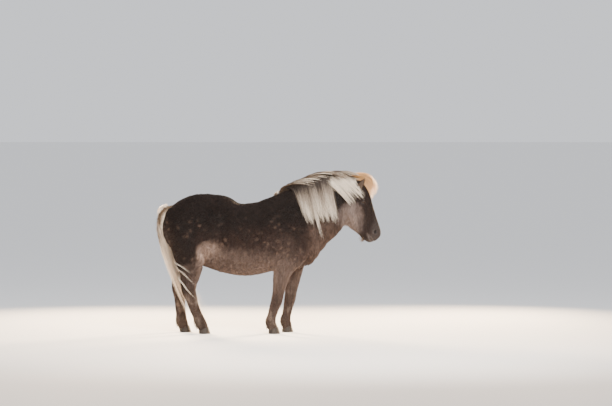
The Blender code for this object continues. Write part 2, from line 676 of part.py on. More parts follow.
def grown(body, distance):
    """A copy of a mesh pushed out along its normals."""
    copy = bpy.data.objects.new("grown", body.data.copy())
    bpy.context.scene.collection.objects.link(copy)
    store(copy.data, coordinates(copy.data) + normals(copy.data) * distance)
    return copy


def ball(name, middle, radius, axes=None, segments=16, rings=10):
    """A sphere, or with axes (three vectors) an ellipsoid."""
    bpy.ops.mesh.primitive_uv_sphere_add(segments=segments, ring_count=rings, radius=1)
    obj = bpy.context.object
    obj.name = name
    shape = Matrix.Diagonal((radius, radius, radius))
    if axes:
        shape = Matrix(axes).transposed()
    obj.data.transform(Matrix.Translation(middle) @ shape.to_4x4())
    return obj


def surface_tree(objects):
    """A search tree over several meshes."""
    points, faces = [], []
    for obj in objects:
        start = len(points)
        points.extend(v.co.copy() for v in obj.data.vertices)
        faces.extend([start + i for i in p.vertices] for p in obj.data.polygons)
    return BVHTree.FromPolygons(points, faces)


def eye_place(tree, side):
    """Middle of an eyeball, from where a line from the side meets the face, and its way out."""
    spot = head_point(EYE_DOWN, EYE_FORWARD)
    hit, _, _, _ = tree.ray_cast(spot + Vector((0, side * 0.3, 0)), Vector((0, -side, 0)))
    down, out = head_frame()
    facing = (Vector((0, side, 0)) + out * EYE_UP).normalized()
    return hit - Vector((0, side * EYE_DEPTH, 0)), facing


def set_eyes(head, tree):
    """Lids, sockets and eyeballs."""
    down, out = head_frame()
    eyes = []
    domes, cutters = [], []
    for side, name in ((-1, "right"), (1, "left")):
        middle, facing = eye_place(tree, side)
        domes.append(ball("lids", middle, EYE_RADIUS + LID_THICKNESS, segments=16, rings=10))
        along = (down * 0.86 + out * 0.51).normalized()
        along = (along - facing * along.dot(facing)).normalized()
        over = facing.cross(along)
        cutters.append(ball("socket", middle, EYE_RADIUS + GAP, segments=14, rings=8))
        opening = middle + facing * (EYE_RADIUS + LID_THICKNESS)
        long, high, deep = EYE_OPENING
        cutters.append(ball("opening", opening, 1, (along * long, over * high, facing * deep), 12, 7))
        eyes.append(ball("eye_" + name, middle, EYE_RADIUS, segments=14, rings=8))
        cutters.append(nostril(tree, side))
    cutters.append(groove(tree))
    head = combined("head", head, domes, "UNION")
    head = combined("head", head, cutters, "DIFFERENCE")
    return largest(head), eyes


def nostril(tree, side):
    """The hollow of one nostril, a slanted oval that runs inwards."""
    down, out = head_frame()
    hit, _, _, _ = tree.ray_cast(head_point(*NOSTRIL, side * 0.3), Vector((0, -side, 0)))
    long, wide, deep = NOSTRIL_SIZE
    along = (down * 0.80 - out * 0.60).normalized()
    over = (down * 0.60 + out * 0.80).normalized()
    return ball("nostril", hit, 1, (along * long, over * wide, Vector((0, side * deep, 0))), 14, 8)


def groove(tree):
    """A thin tube along the mouth, to cut the line between the lips."""
    line = mouth_line()
    run = [0.0]
    for before, after in zip(line, line[1:]):
        run.append(run[-1] + (after - before).length)
    steps = GROOVE_STEPS
    points, rings = [], []
    for i in range(steps + 1):
        at = run[-1] * i / steps
        point = Vector([float(np.interp(at, run, [p[k] for p in line])) for k in range(3)])
        hit, _, _, _ = tree.find_nearest(point)
        points.append(hit)
    for i, point in enumerate(points):
        along = (points[min(i + 1, steps)] - points[max(i - 1, 0)]).normalized()
        across = along.cross(Vector((0, 0, 1))).normalized()
        up = across.cross(along).normalized()
        size = GROOVE_SIZE * (0.45 + 0.55 * min(1, 4 * i / steps, 4 * (steps - i) / steps))
        rings += [point + (across * math.cos(a) + up * math.sin(a)) * size for a in np.arange(6) * math.tau / 6]
    rings += [points[0], points[-1]]
    obj = mesh_object("groove", rings, tube_faces(steps + 1, 6))
    recalculated(obj.data)
    return obj


def ear(side, name):
    """A cupped ear, pricked forward."""
    mirror = Vector((1, side, 1))
    axis = (Vector(EAR_AXIS) * mirror).normalized()
    opening = Vector(EAR_OPENING) * mirror
    opening = (opening - axis * opening.dot(axis)).normalized()
    across = axis.cross(opening)
    root = Vector(EAR_ROOT) * mirror

    def shell(sections, shift):
        points = []
        angle = np.arange(EAR_RING) * math.tau / EAR_RING
        for way, half, deep in sections:
            middle = root + axis * (way * EAR_LENGTH) + opening * shift(way)
            for a in angle:
                points.append(middle + across * (half * math.cos(a)) + opening * (deep * math.sin(a)))
        points.append(root + axis * (sections[0][0] * EAR_LENGTH) + opening * shift(sections[0][0]))
        points.append(root + axis * (sections[-1][0] * EAR_LENGTH) + opening * shift(sections[-1][0]))
        obj = mesh_object(name, points, tube_faces(len(sections), EAR_RING))
        recalculated(obj.data)
        return obj

    outer = shell(EAR_SECTIONS, lambda way: 0.010 * way)
    share, forward = EAR_CUP
    cup = [(way, half * share, deep) for way, half, deep in EAR_SECTIONS[1:-1]]
    inner = shell(cup, lambda way: forward + 0.004 * way)
    return combined("ear_" + name, outer, [inner], "DIFFERENCE")


def eased(run, curve):
    """The value of a curve of (run, value) rows at a run."""
    return float(np.interp(run, [row[0] for row in curve], [row[1] for row in curve]))


def mixed(index, stride, count):
    """Shares from 0 to 1, one for each index, in an order that jumps about."""
    return (index * stride) % count / (count - 1)


def strand(root, turn, fall, length, steps, lean, lift, tree, aim=0.0):
    """A path from root along the headings of turn and then fall, leaning sideways, clear of the surface."""
    runs, angles = [t[0] for t in turn], [t[1] for t in turn]
    if fall is not None:
        runs, angles = runs + [runs[-1] + 0.06], angles + [-fall]
    points, outward = [], []
    point = Vector(root)
    for i in range(steps + 1):
        run = length * i / steps
        _, normal, _, _ = tree.find_nearest(point)
        if i > 0:
            point = clear_of(point, tree, lift)
        points.append(point.copy())
        outward.append(normal)
        angle = math.radians(float(np.interp(run, runs, angles)) + aim)
        sideways = lean(run)
        level = math.sqrt(1 - sideways**2)
        heading = Vector((math.cos(angle) * level, sideways, math.sin(angle) * level))
        point = point + heading * (length / steps)
    return points, outward


def clear_of(point, tree, lift):
    """The point, moved away from the surface if it is nearer than lift."""
    hit, normal, _, _ = tree.find_nearest(point)
    gap = (point - hit).dot(normal)
    return hit + normal * lift if gap < lift else point


def lock(name, points, outward, width, thick):
    """A flat lock of three sides along a path, tapered to its tip."""
    rings = []
    last = len(points) - 1
    for i, (point, normal) in enumerate(zip(points, outward)):
        along = (points[min(i + 1, last)] - points[max(i - 1, 0)]).normalized()
        across = along.cross(normal).normalized()
        out = across.cross(along).normalized()
        share = i / last
        size = min(1, LOCK_RISE + share * 2) * max(LOCK_TIP, 1 - share**4)
        half, deep = width / 2 * size, thick * max(0.3, size)
        under = point - out * deep * 0.4
        rings += [under + across * half, point + out * deep * 0.6, under - across * half]
    rings += [points[0], points[-1] + (points[-1] - points[-2]) * 0.15]
    obj = mesh_object(name, rings, tube_faces(len(points), 3))
    recalculated(obj.data)
    return obj


def crest(tree, x, y=0.0):
    """Point on the top line of the neck over x."""
    hit, _, _, _ = tree.ray_cast(Vector((x, y, 3)), Vector((0, 0, -1)))
    return hit


def mane_locks(tree, draw):
    locks = []
    for first, last, count, length_a, fall_a, length_b, fall_b, width, lift, side in MANE_LOCKS:
        for k in range(count):
            share = k / max(count - 1, 1)
            x = first + (last - first) * share + draw.uniform(-0.006, 0.006)
            root = crest(tree, x) + Vector((0, side * 0.010, 0.006))
            length = (length_a + (length_b - length_a) * share) * draw.uniform(0.94, 1.06)
            fall = fall_a + (fall_b - fall_a) * share + draw.uniform(-2.5, 2.5)
            points, outward = strand(
                root, MANE_TURN, fall, length, STRAND_STEPS["mane"],
                lambda run, side=side: side * eased(run, MANE_LEAN), lift, tree,
            )
            locks.append(lock("lock", points, outward, width * draw.uniform(0.85, 1.15), MANE_THICK))
    return locks


def crest_core(tree):
    rows = []
    for x, half in CREST_CORE:
        top = crest(tree, x)
        rows.append((x, 0, top.z - 0.010, 0.032, 0.030, half, 2.0, 2.0))
    return loft("crest", rows, 1, *CORE_GRAIN)


def forelock_locks(tree, draw):
    locks = []
    x, spread, z = FORELOCK_ROOT
    width, thick = FORELOCK_LOCK
    for k in range(FORELOCK_COUNT):
        across = spread * (mixed(k, 4, FORELOCK_COUNT) - 0.5)
        root = Vector((x + draw.uniform(-0.015, 0.02), across, z - abs(across) * 0.35))
        points, outward = strand(
            root, FORELOCK_TURN, None, draw.uniform(*FORELOCK_LENGTH), STRAND_STEPS["forelock"],
            lambda run, across=across: across * eased(run, FORELOCK_LEAN), LIFT, tree, draw.uniform(-14, 4),
        )
        locks.append(lock("lock", points, outward, width * draw.uniform(0.85, 1.15), thick))
    return locks


def tail_locks(tree, draw):
    locks = []
    path = resample(DOCK, 0.01)
    shortest, longest = TAIL_LENGTH
    width, thick = TAIL_LOCK
    for k in range(TAIL_COUNT):
        start = 0.10 + 0.80 * mixed(k, 5, TAIL_COUNT)
        row = path[int(start * (len(path) - 1))]
        turn = math.tau * k * 0.382  # spreads the roots evenly round the dock
        root = Vector((row[0], math.cos(turn) * 0.018, row[2] + math.sin(turn) * 0.008))
        done = start * 0.30  # the part of the turns that lies above this root
        length = (shortest + (longest - shortest) * mixed(k, 7, TAIL_COUNT)) * draw.uniform(0.95, 1.05) - done * 0.4
        aim = 11 * mixed(k, 11, TAIL_COUNT) - 2
        headings = [(max(0.0, run - done), angle) for run, angle in TAIL_TURN if run >= done - 0.06]
        sway = draw.uniform(-0.05, 0.05) + math.cos(turn) * 0.03
        points, outward = strand(
            root, headings, None, length, STRAND_STEPS["tail"],
            lambda run, sway=sway: sway * math.cos(run * 3.0) - 0.05, LIFT, tree, aim,
        )
        locks.append(lock("lock", points, outward, width * draw.uniform(0.85, 1.15), thick))
    return locks


def hair_node(name, core, locks, flesh):
    """Core and locks as one closed piece, clear of everything it lies on."""
    node = largest(combined(name, core, locks, "UNION"))
    return largest(combined(name, node, flesh, "DIFFERENCE"))


def hair_nodes(skin, head, ears):
    """Mane, forelock and tail, each kept clear of the skin and of one another."""
    draw = random.Random(SEED)
    tree = surface_tree([skin])
    covers = [grown(skin, 2 * GAP), grown(head, 2 * GAP)] + [grown(e, 2 * GAP) for e in ears]

    def copies(extra=()):
        made = []
        for obj in covers:
            copy = bpy.data.objects.new("cover", obj.data.copy())
            bpy.context.scene.collection.objects.link(copy)
            made.append(copy)
        return made + list(extra)

    mane = hair_node("mane", crest_core(tree), mane_locks(tree, draw), copies())
    core = loft("forelock_core", FORELOCK_CORE, 1, *CORE_GRAIN)
    forelock = hair_node("forelock", core, forelock_locks(tree, draw), copies([grown(mane, 2 * GAP)]))
    tail = hair_node("tail", loft("dock", DOCK, 1, *CORE_GRAIN), tail_locks(tree, draw), copies())
    for obj in covers:
        bpy.data.objects.remove(obj)
    return {"mane": mane, "forelock": forelock, "tail": tail}


def gathered(nodes):
    """Puts the parts in their collection with their own materials."""
    home = bpy.data.collections.new("icelandic_horse")
    bpy.context.scene.collection.children.link(home)
    for name, obj in sorted(nodes.items()):
        obj.name = name
        obj.data.name = name
        for old in list(obj.users_collection):
            old.objects.unlink(obj)
        home.objects.link(obj)
        kind = next((k for k in COLOURS if name.startswith(k)), "coat")
        colour, roughness = COLOURS[kind]
        material = bpy.data.materials.new(name + "_" + kind)
        material.use_nodes = True
        shader = material.node_tree.nodes["Principled BSDF"]
        shader.inputs["Base Color"].default_value = (*colour, 1)
        shader.inputs["Roughness"].default_value = roughness
        shader.inputs["Metallic"].default_value = 0.0
        material.diffuse_color = (*colour, 1)
        obj.data.materials.clear()
        obj.data.materials.append(material)
        for face in obj.data.polygons:
            face.material_index = 0


def main():
    clear_scene()
    skin = thinned(fused_body())
    tree = surface_tree([skin])
    whole = bpy.data.objects.new("whole", skin.data.copy())
    bpy.context.scene.collection.objects.link(whole)
    nodes = cut_apart(skin)
    nodes["head"], eyes = set_eyes(nodes["head"], tree)
    for eye in eyes:
        nodes[eye.name] = eye
    for leg in LEGS:
        nodes["hoof_" + leg] = hoof(leg)
    ears = []
    for side, name in ((-1, "right"), (1, "left")):
        cut = combined("ear_" + name, ear(side, name), [grown(nodes["head"], 2 * GAP)], "DIFFERENCE")
        ears.append(largest(cut))
        nodes["ear_" + name] = ears[-1]
    nodes.update(hair_nodes(whole, nodes["head"], ears))
    bpy.data.objects.remove(whole)
    gathered(nodes)


if __name__ == "__main__":
    main()
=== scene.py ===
import json
import math
import random
import time

import bmesh
import bpy
import numpy as np
from mathutils import Matrix, Vector
from mathutils.bvhtree import BVHTree

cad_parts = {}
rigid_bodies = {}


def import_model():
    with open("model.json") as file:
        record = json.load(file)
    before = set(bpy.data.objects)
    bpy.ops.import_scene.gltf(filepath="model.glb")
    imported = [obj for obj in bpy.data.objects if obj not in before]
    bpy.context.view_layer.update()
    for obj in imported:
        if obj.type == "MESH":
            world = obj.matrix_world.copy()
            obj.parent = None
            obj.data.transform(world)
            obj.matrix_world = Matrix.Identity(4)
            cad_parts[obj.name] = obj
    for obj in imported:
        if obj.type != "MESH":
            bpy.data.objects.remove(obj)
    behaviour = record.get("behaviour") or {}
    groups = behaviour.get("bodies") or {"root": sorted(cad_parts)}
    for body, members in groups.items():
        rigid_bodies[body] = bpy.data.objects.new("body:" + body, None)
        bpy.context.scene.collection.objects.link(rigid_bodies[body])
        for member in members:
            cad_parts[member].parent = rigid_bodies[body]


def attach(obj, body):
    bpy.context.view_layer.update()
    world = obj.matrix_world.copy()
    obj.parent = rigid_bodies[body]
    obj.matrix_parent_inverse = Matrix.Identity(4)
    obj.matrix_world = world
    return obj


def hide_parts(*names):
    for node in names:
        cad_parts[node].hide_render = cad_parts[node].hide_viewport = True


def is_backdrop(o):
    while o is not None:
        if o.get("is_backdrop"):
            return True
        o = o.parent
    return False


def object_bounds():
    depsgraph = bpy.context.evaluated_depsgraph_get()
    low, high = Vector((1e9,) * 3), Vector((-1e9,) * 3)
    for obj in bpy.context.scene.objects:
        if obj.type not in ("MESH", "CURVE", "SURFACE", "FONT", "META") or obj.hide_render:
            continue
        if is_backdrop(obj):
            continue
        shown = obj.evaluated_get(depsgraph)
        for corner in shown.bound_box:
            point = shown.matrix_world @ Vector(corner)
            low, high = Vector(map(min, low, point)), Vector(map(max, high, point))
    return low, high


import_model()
cadLow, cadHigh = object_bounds()
started = time.time()


def report(*words):
    print("horse:", *words, f"({time.time() - started:.0f} s)")


def linked(name, mesh):
    obj = bpy.data.objects.new(name, mesh)
    bpy.context.scene.collection.objects.link(obj)
    return obj


def meshObject(name, points, faces, edges=()):
    mesh = bpy.data.meshes.new(name)
    mesh.from_pydata([tuple(p) for p in points], edges, faces)
    mesh.update()
    return linked(name, mesh)


def store(mesh, name, values, kind="FLOAT", domain="POINT"):
    key = "vector" if kind == "FLOAT_VECTOR" else "value"
    mesh.attributes.new(name, kind, domain).data.foreach_set(key, np.ravel(values))


def dropExtras(mesh, *names):
    for name in names:
        if name in mesh.attributes:
            mesh.attributes.remove(mesh.attributes[name])


def facedOutwards(mesh):
    fix = bmesh.new()
    fix.from_mesh(mesh)
    bmesh.ops.recalc_face_normals(fix, faces=fix.faces)
    bmesh.ops.triangulate(fix, faces=fix.faces)
    fix.to_mesh(mesh)
    fix.free()


def settled(obj, name=None):
    # the object as its modifiers leave it, as a plain mesh
    graph = bpy.context.evaluated_depsgraph_get()
    mesh = bpy.data.meshes.new_from_object(obj.evaluated_get(graph))
    name = name or obj.name
    old = obj.data
    bpy.data.objects.remove(obj)
    if isinstance(old, bpy.types.Mesh) and not old.users:
        bpy.data.meshes.remove(old)
    mesh.name = name
    return linked(name, mesh)


def joinedMesh(objects, name):
    gather = bmesh.new()
    for obj in objects:
        gather.from_mesh(obj.data)
        bpy.data.objects.remove(obj)
    mesh = bpy.data.meshes.new(name)
    gather.to_mesh(mesh)
    gather.free()
    return linked(name, mesh)


def readOut(items, key, width=3, kind=float):
    flat = np.empty(len(items) * width, kind)
    items.foreach_get(key, flat)
    return flat.reshape(-1, width) if width > 1 else flat


def pointsOf(mesh):
    return readOut(mesh.vertices, "co")


def normalsOf(mesh):
    return readOut(mesh.vertex_normals, "vector")


def movePoints(mesh, points):
    mesh.vertices.foreach_set("co", np.ascontiguousarray(points).ravel())
    mesh.update()


def relax(mesh, rounds, share):
    # draws each point towards the middle of its neighbours
    a, b = readOut(mesh.edges, "vertices", 2, int).T
    count = len(mesh.vertices)
    degree = np.bincount(a, minlength=count) + np.bincount(b, minlength=count)
    points = pointsOf(mesh)
    for _ in range(rounds):
        middle = np.stack(
            [np.bincount(a, points[b, k], count) + np.bincount(b, points[a, k], count) for k in range(3)], axis=1
        )
        points += share[:, None] * (middle / degree[:, None] - points)
    movePoints(mesh, points)


def remeshed(obj, grain):
    cut = obj.modifiers.new("fuse", "REMESH")
    cut.mode = "VOXEL"
    cut.voxel_size = grain
    return settled(obj)


def wayToPath(points, path):
    path = [np.array(p, float) for p in path]
    nearest = np.linalg.norm(points - path[0], axis=1)
    for start, end in zip(path, path[1:]):
        run = end - start
        t = np.clip((points - start) @ run / (run @ run), 0, 1)
        nearest = np.minimum(nearest, np.linalg.norm(points - start - t[:, None] * run, axis=1))
    return nearest


def brush(mesh, path, radius, height):
    # raises or sinks the surface along its normals near a path
    points = pointsOf(mesh)
    near = np.clip(1 - (wayToPath(points, path) / radius) ** 2, 0, 1) ** 2
    movePoints(mesh, points + normalsOf(mesh) * (height * near)[:, None])


def smoothStep(low, high, values):
    t = np.clip((values - low) / (high - low), 0, 1)
    return t * t * (3 - 2 * t)


def searchTree(objects):
    points, faces = [], []
    for obj in objects:
        start = len(points)
        points.extend(v.co.copy() for v in obj.data.vertices)
        faces.extend([start + i for i in p.vertices] for p in obj.data.polygons)
    return BVHTree.FromPolygons(points, faces)


def cutOrJoin(target, others, operation, name):
    hold = bpy.data.collections.new(name + "Pieces")
    bpy.context.scene.collection.children.link(hold)
    for obj in others:
        for home in list(obj.users_collection):
            home.objects.unlink(obj)
        hold.objects.link(obj)
    boolean = target.modifiers.new("cut", "BOOLEAN")
    boolean.operation = operation
    boolean.operand_type = "COLLECTION"
    boolean.collection = hold
    boolean.solver = "MANIFOLD"
    result = settled(target, name)
    for obj in list(hold.objects):
        bpy.data.objects.remove(obj)
    bpy.data.collections.remove(hold)
    facedOutwards(result.data)
    return result


def sphere(name, segments, rings):
    # Blender lists the faces of its sphere in a new order on each run, so they are put in a fixed one
    bpy.ops.mesh.primitive_uv_sphere_add(segments=segments, ring_count=rings, radius=1)
    made = bpy.context.object
    spots = made.data.uv_layers[0].data
    faces = sorted(
        (list(face.vertices), [tuple(spots[i].uv) for i in face.loop_indices]) for face in made.data.polygons
    )
    obj = meshObject(name, pointsOf(made.data), [corners for corners, _ in faces])
    flat = np.array([spot for _, row in faces for spot in row])
    obj.data.uv_layers.new(name="UVMap").data.foreach_set("uv", flat.ravel())
    bpy.data.objects.remove(made)
    return obj


def ellipsoid(name, middle, axes, segments=32, rings=20):
    obj = sphere(name, segments, rings)
    obj.data.transform(Matrix.Translation(middle) @ Matrix(axes).transposed().to_4x4())
    facedOutwards(obj.data)
    return obj


def smoothShaded(mesh):
    mesh.polygons.foreach_set("use_smooth", np.ones(len(mesh.polygons), bool))
    mesh.update()


def resample(rows, spacing):
    # a smooth curve through the rows, at even steps
    rows = np.array(rows, float)
    steps = np.linalg.norm(np.diff(rows[:, :3], axis=0), axis=1)
    run = np.concatenate([[0.0], np.cumsum(steps)])
    slope = np.gradient(rows, run, axis=0)
    at = np.linspace(0, run[-1], max(6, round(run[-1] / spacing)))
    i = np.clip(np.searchsorted(run, at, "right") - 1, 0, len(run) - 2)
    length = (run[i + 1] - run[i])[:, None]
    t = (at - run[i])[:, None] / length
    return (
        (2 * t**3 - 3 * t**2 + 1) * rows[i]
        + (t**3 - 2 * t**2 + t) * length * slope[i]
        + (3 * t**2 - 2 * t**3) * rows[i + 1]
        + (t**3 - t**2) * length * slope[i + 1]
    )


def tubeFaces(rings, around):
    # the skin of a tube, with a point at each end that closes it
    faces = []
    for i in range(rings - 1):
        for j in range(around):
            k = (j + 1) % around
            faces.append((i * around + j, i * around + k, (i + 1) * around + k, (i + 1) * around + j))
    first, last = rings * around, rings * around + 1
    for j in range(around):
        k = (j + 1) % around
        faces.append((first, k, j))
        faces.append((last, (rings - 1) * around + j, (rings - 1) * around + k))
    return faces


def loft(name, stations, side=1, around=48, spacing=0.015):
    # sections stand square to their path in the plane of X and Z
    rows = resample(stations, spacing)
    rows[:, 1] *= side
    along = np.gradient(rows[:, :3], axis=0)
    along[:, 1] = 0
    along /= np.linalg.norm(along, axis=1)[:, None]
    over = np.stack([-along[:, 2], 0 * along[:, 0], along[:, 0]], axis=1)
    angle = np.arange(around) * math.tau / around
    points = []
    for row, up in zip(rows, over):
        middle, (top, bottom, half, topPower, bottomPower) = row[:3], row[3:]
        power = np.where(np.sin(angle) >= 0, topPower, bottomPower)
        reach = np.where(np.sin(angle) >= 0, top, bottom)
        across = half * np.sign(np.cos(angle)) * np.abs(np.cos(angle)) ** (2 / power)
        height = reach * np.sign(np.sin(angle)) * np.abs(np.sin(angle)) ** (2 / power)
        section = middle + height[:, None] * up
        section[:, 1] += across
        points.extend(section)
    points.extend([rows[0, :3], rows[-1, :3]])
    obj = meshObject(name, points, tubeFaces(len(rows), around))
    facedOutwards(obj.data)
    return obj


studio = {
    "cameraPlace": (0.38, -34.0, 2.3),
    "cameraTilt": 1.684,  # degrees below level
    "lens": 200.0,
    "floorSize": 400.0,
    "floorColour": (0.84, 0.84, 0.84),
    "worldColour": (0.93, 0.95, 1.0),
    "worldStrength": 1.0,
    "spread": 90.0,  # degrees across each lamp's beam
    # name, place, size, watts, colour, aimed at
    "lights": (
        ("keyLight", (2.0, -7.0, 4.5), 4.0, 420.0, (1.0, 0.96, 0.9), (0.0, 0.0, 0.9)),
        ("rimLight", (3.6, 5.2, 2.5), 2.0, 700.0, (1.0, 0.72, 0.45), (0.2, 0.0, 1.0)),
        ("backRimLight", (-2.6, 5.4, 2.9), 2.0, 600.0, (1.0, 0.72, 0.45), (-0.6, 0.0, 1.0)),
    ),
}


def setStudio():
    camera = linked("camera", bpy.data.cameras.new("camera"))
    camera.location = studio["cameraPlace"]
    camera.rotation_euler = (math.radians(90 - studio["cameraTilt"]), 0, 0)
    camera.data.lens = studio["lens"]
    camera.data.sensor_width = 36
    camera.data.clip_end = 200
    camera.data.dof.use_dof = False
    bpy.context.scene.camera = camera
    for name, place, size, watts, colour, aim in studio["lights"]:
        light = bpy.data.lights.new(name, "AREA")
        light.shape = "DISK"
        light.size = size
        light.energy = watts
        light.spread = math.radians(studio["spread"])
        light.color = colour
        lamp = linked(name, light)
        lamp.location = place
        lamp.rotation_euler = (Vector(aim) - Vector(place)).to_track_quat("-Z", "Y").to_euler()
    world = bpy.data.worlds.new("studioAir")
    bpy.context.scene.world = world
    world.use_nodes = True
    air = world.node_tree.nodes["Background"]
    air.inputs["Color"].default_value = (*studio["worldColour"], 1)
    air.inputs["Strength"].default_value = studio["worldStrength"]
    half = studio["floorSize"] / 2
    corners = [(-half, -half, 0), (half, -half, 0), (half, half, 0), (-half, half, 0)]
    floor = meshObject("studioFloor", corners, [(0, 1, 2, 3)])
    paint = Finish("floorPaint", 0.85)
    paint.surface.inputs["Base Color"].default_value = (*studio["floorColour"], 1)
    floor.data.materials.append(paint.material)
    floor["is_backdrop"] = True


def madeNode(tree, kind, settings, sockets):
    # settings come first; a socket is given by its name, or by its place as i0, i1
    node = tree.nodes.new(kind)
    for key, setting in (settings or {}).items():
        setattr(node, key, setting)
    for key, item in sockets.items():
        numbered = key[0] == "i" and key[1:].isdigit()
        place = node.inputs[int(key[1:]) if numbered else key.replace("_", " ")]
        item = getattr(item, "socket", item)
        if isinstance(item, bpy.types.NodeSocket):
            tree.links.new(item, place)
        else:
            place.default_value = (*item[:3], 1) if place.type == "RGBA" else item
    return node


class Value:
    # wraps a socket, so that maths on it adds its own Math nodes
    def __init__(self, tree, socket):
        self.tree = tree
        self.socket = socket

    def math(self, operation, first, second):
        node = madeNode(self.tree, "ShaderNodeMath", {"operation": operation}, {"i0": first, "i1": second})
        return Value(self.tree, node.outputs[0])

    def __add__(self, other):
        return self.math("ADD", self, other)

    def __radd__(self, other):
        return self.math("ADD", other, self)

    def __sub__(self, other):
        return self.math("SUBTRACT", self, other)

    def __rsub__(self, other):
        return self.math("SUBTRACT", other, self)

    def __mul__(self, other):
        return self.math("MULTIPLY", self, other)

    def __rmul__(self, other):
        return self.math("MULTIPLY", other, self)

    def __truediv__(self, other):
        return self.math("DIVIDE", self, other)

    def __pow__(self, other):
        return self.math("POWER", self, other)

    def ramp(self, low, high):
        # 0 at low and 1 at high, with soft ends
        if low > high:
            return 1 - self.ramp(high, low)
        sockets = {"Value": self, "From_Min": low, "From_Max": high}
        node = madeNode(self.tree, "ShaderNodeMapRange", {"interpolation_type": "SMOOTHSTEP"}, sockets)
        return Value(self.tree, node.outputs["Result"])


class Finish:
    # one material and the few ways in which its nodes are made
    def __init__(self, name, roughness=0.7, **constants):
        self.material = bpy.data.materials.new(name)
        self.material.use_nodes = True
        self.tree = self.material.node_tree
        self.surface = self.tree.nodes["Principled BSDF"]
        self.surface.inputs["Roughness"].default_value = roughness
        for socket, amount in constants.items():
            self.surface.inputs[socket.replace("_", " ")].default_value = amount

    def node(self, kind, settings=None, output=0, **sockets):
        return Value(self.tree, madeNode(self.tree, kind, settings, sockets).outputs[output])

    def place(self):
        return self.node("ShaderNodeTexCoord", output="Object")

    def attribute(self, name, output="Fac"):
        return self.node("ShaderNodeAttribute", {"attribute_name": name}, output)

    def parts(self, vector):
        node = madeNode(self.tree, "ShaderNodeSeparateXYZ", None, {"i0": vector})
        return [Value(self.tree, out) for out in node.outputs]

    def noise(self, vector, scale, detail=3.0, output="Fac", rough=0.5):
        return self.node(
            "ShaderNodeTexNoise", None, output, Vector=vector, Scale=scale, Detail=detail, Roughness=rough
        )

    def vectors(self, operation, first, **second):
        return self.node("ShaderNodeVectorMath", {"operation": operation}, i0=first, **second)

    def shifted(self, vector, other, amount):
        # a vector moved by another, such as a noise colour, around its middle
        centred = self.vectors("SUBTRACT", other, i1=(0.5, 0.5, 0.5))
        return self.vectors("ADD", vector, i1=self.vectors("SCALE", centred, Scale=amount))

    def stretched(self, vector, scale):
        return self.vectors("MULTIPLY", vector, i1=scale)

    def mix(self, factor, first, second, blend="MIX"):
        settings = {"data_type": "RGBA", "blend_type": blend}
        return self.node("ShaderNodeMix", settings, 2, i0=factor, i6=first, i7=second)

    def times(self, colour, tint):
        return self.mix(1.0, colour, tint, "MULTIPLY")

    def bump(self, height, strength, distance):
        return self.node("ShaderNodeBump", Strength=strength, Distance=distance, Height=height)

    def painted(self, **sockets):
        # feeds the surface and hands out the finished material
        for key, item in sockets.items():
            self.tree.links.new(item.socket, self.surface.inputs[key.replace("_", " ")])
        return self.material


# shared by skin and fur
coatColours = {
    "back": (0.009, 0.004, 0.0026),
    "barrel": (0.031, 0.0145, 0.01),
    "belly": (0.15, 0.106, 0.088),
    "flank": (0.43, 0.31, 0.25),
    "breast": (0.098, 0.063, 0.048),
    "cheek": (0.225, 0.176, 0.16),
    "face": (0.018, 0.0092, 0.0072),
    "muzzle": (0.046, 0.035, 0.032),
    "lips": (0.2, 0.165, 0.15),
    "leg": (0.072, 0.047, 0.037),
    "legAsh": (0.2, 0.152, 0.124),
    "dapple": (0.135, 0.088, 0.066),
    "earInside": (0.21, 0.145, 0.105),
    "bareSkin": (0.02, 0.015, 0.014),
    # painted shade: darker than bare skin, for the skin seen deep between the tufts
    "paintedShadeUnderFur": (0.012, 0.008, 0.006),
    # painted glow: a warm pale colour on the fur's tips that stands in for low sun shining through them
    "paintedTipGlow": (0.36, 0.24, 0.15),
    "dappleSize": 15.0,
}
# pale patches of the coat: colour, middle along X and Z, reach along X and Z, strength
coatPatches = (
    ("back", -0.83, 0.76, 0.12, 0.33, 0.8),
    ("flank", -0.56, 0.78, 0.12, 0.12, 0.8),
    ("belly", -0.2, 0.61, 0.54, 0.19, 0.95),
    ("belly", 0.2, 0.74, 0.2, 0.19, 0.26),
    ("breast", 0.54, 0.9, 0.14, 0.22, 0.8),
    ("breast", 0.7, 1.08, 0.11, 0.11, 0.6),
    ("cheek", 0.825, 1.145, 0.1, 0.135, 0.9),
)


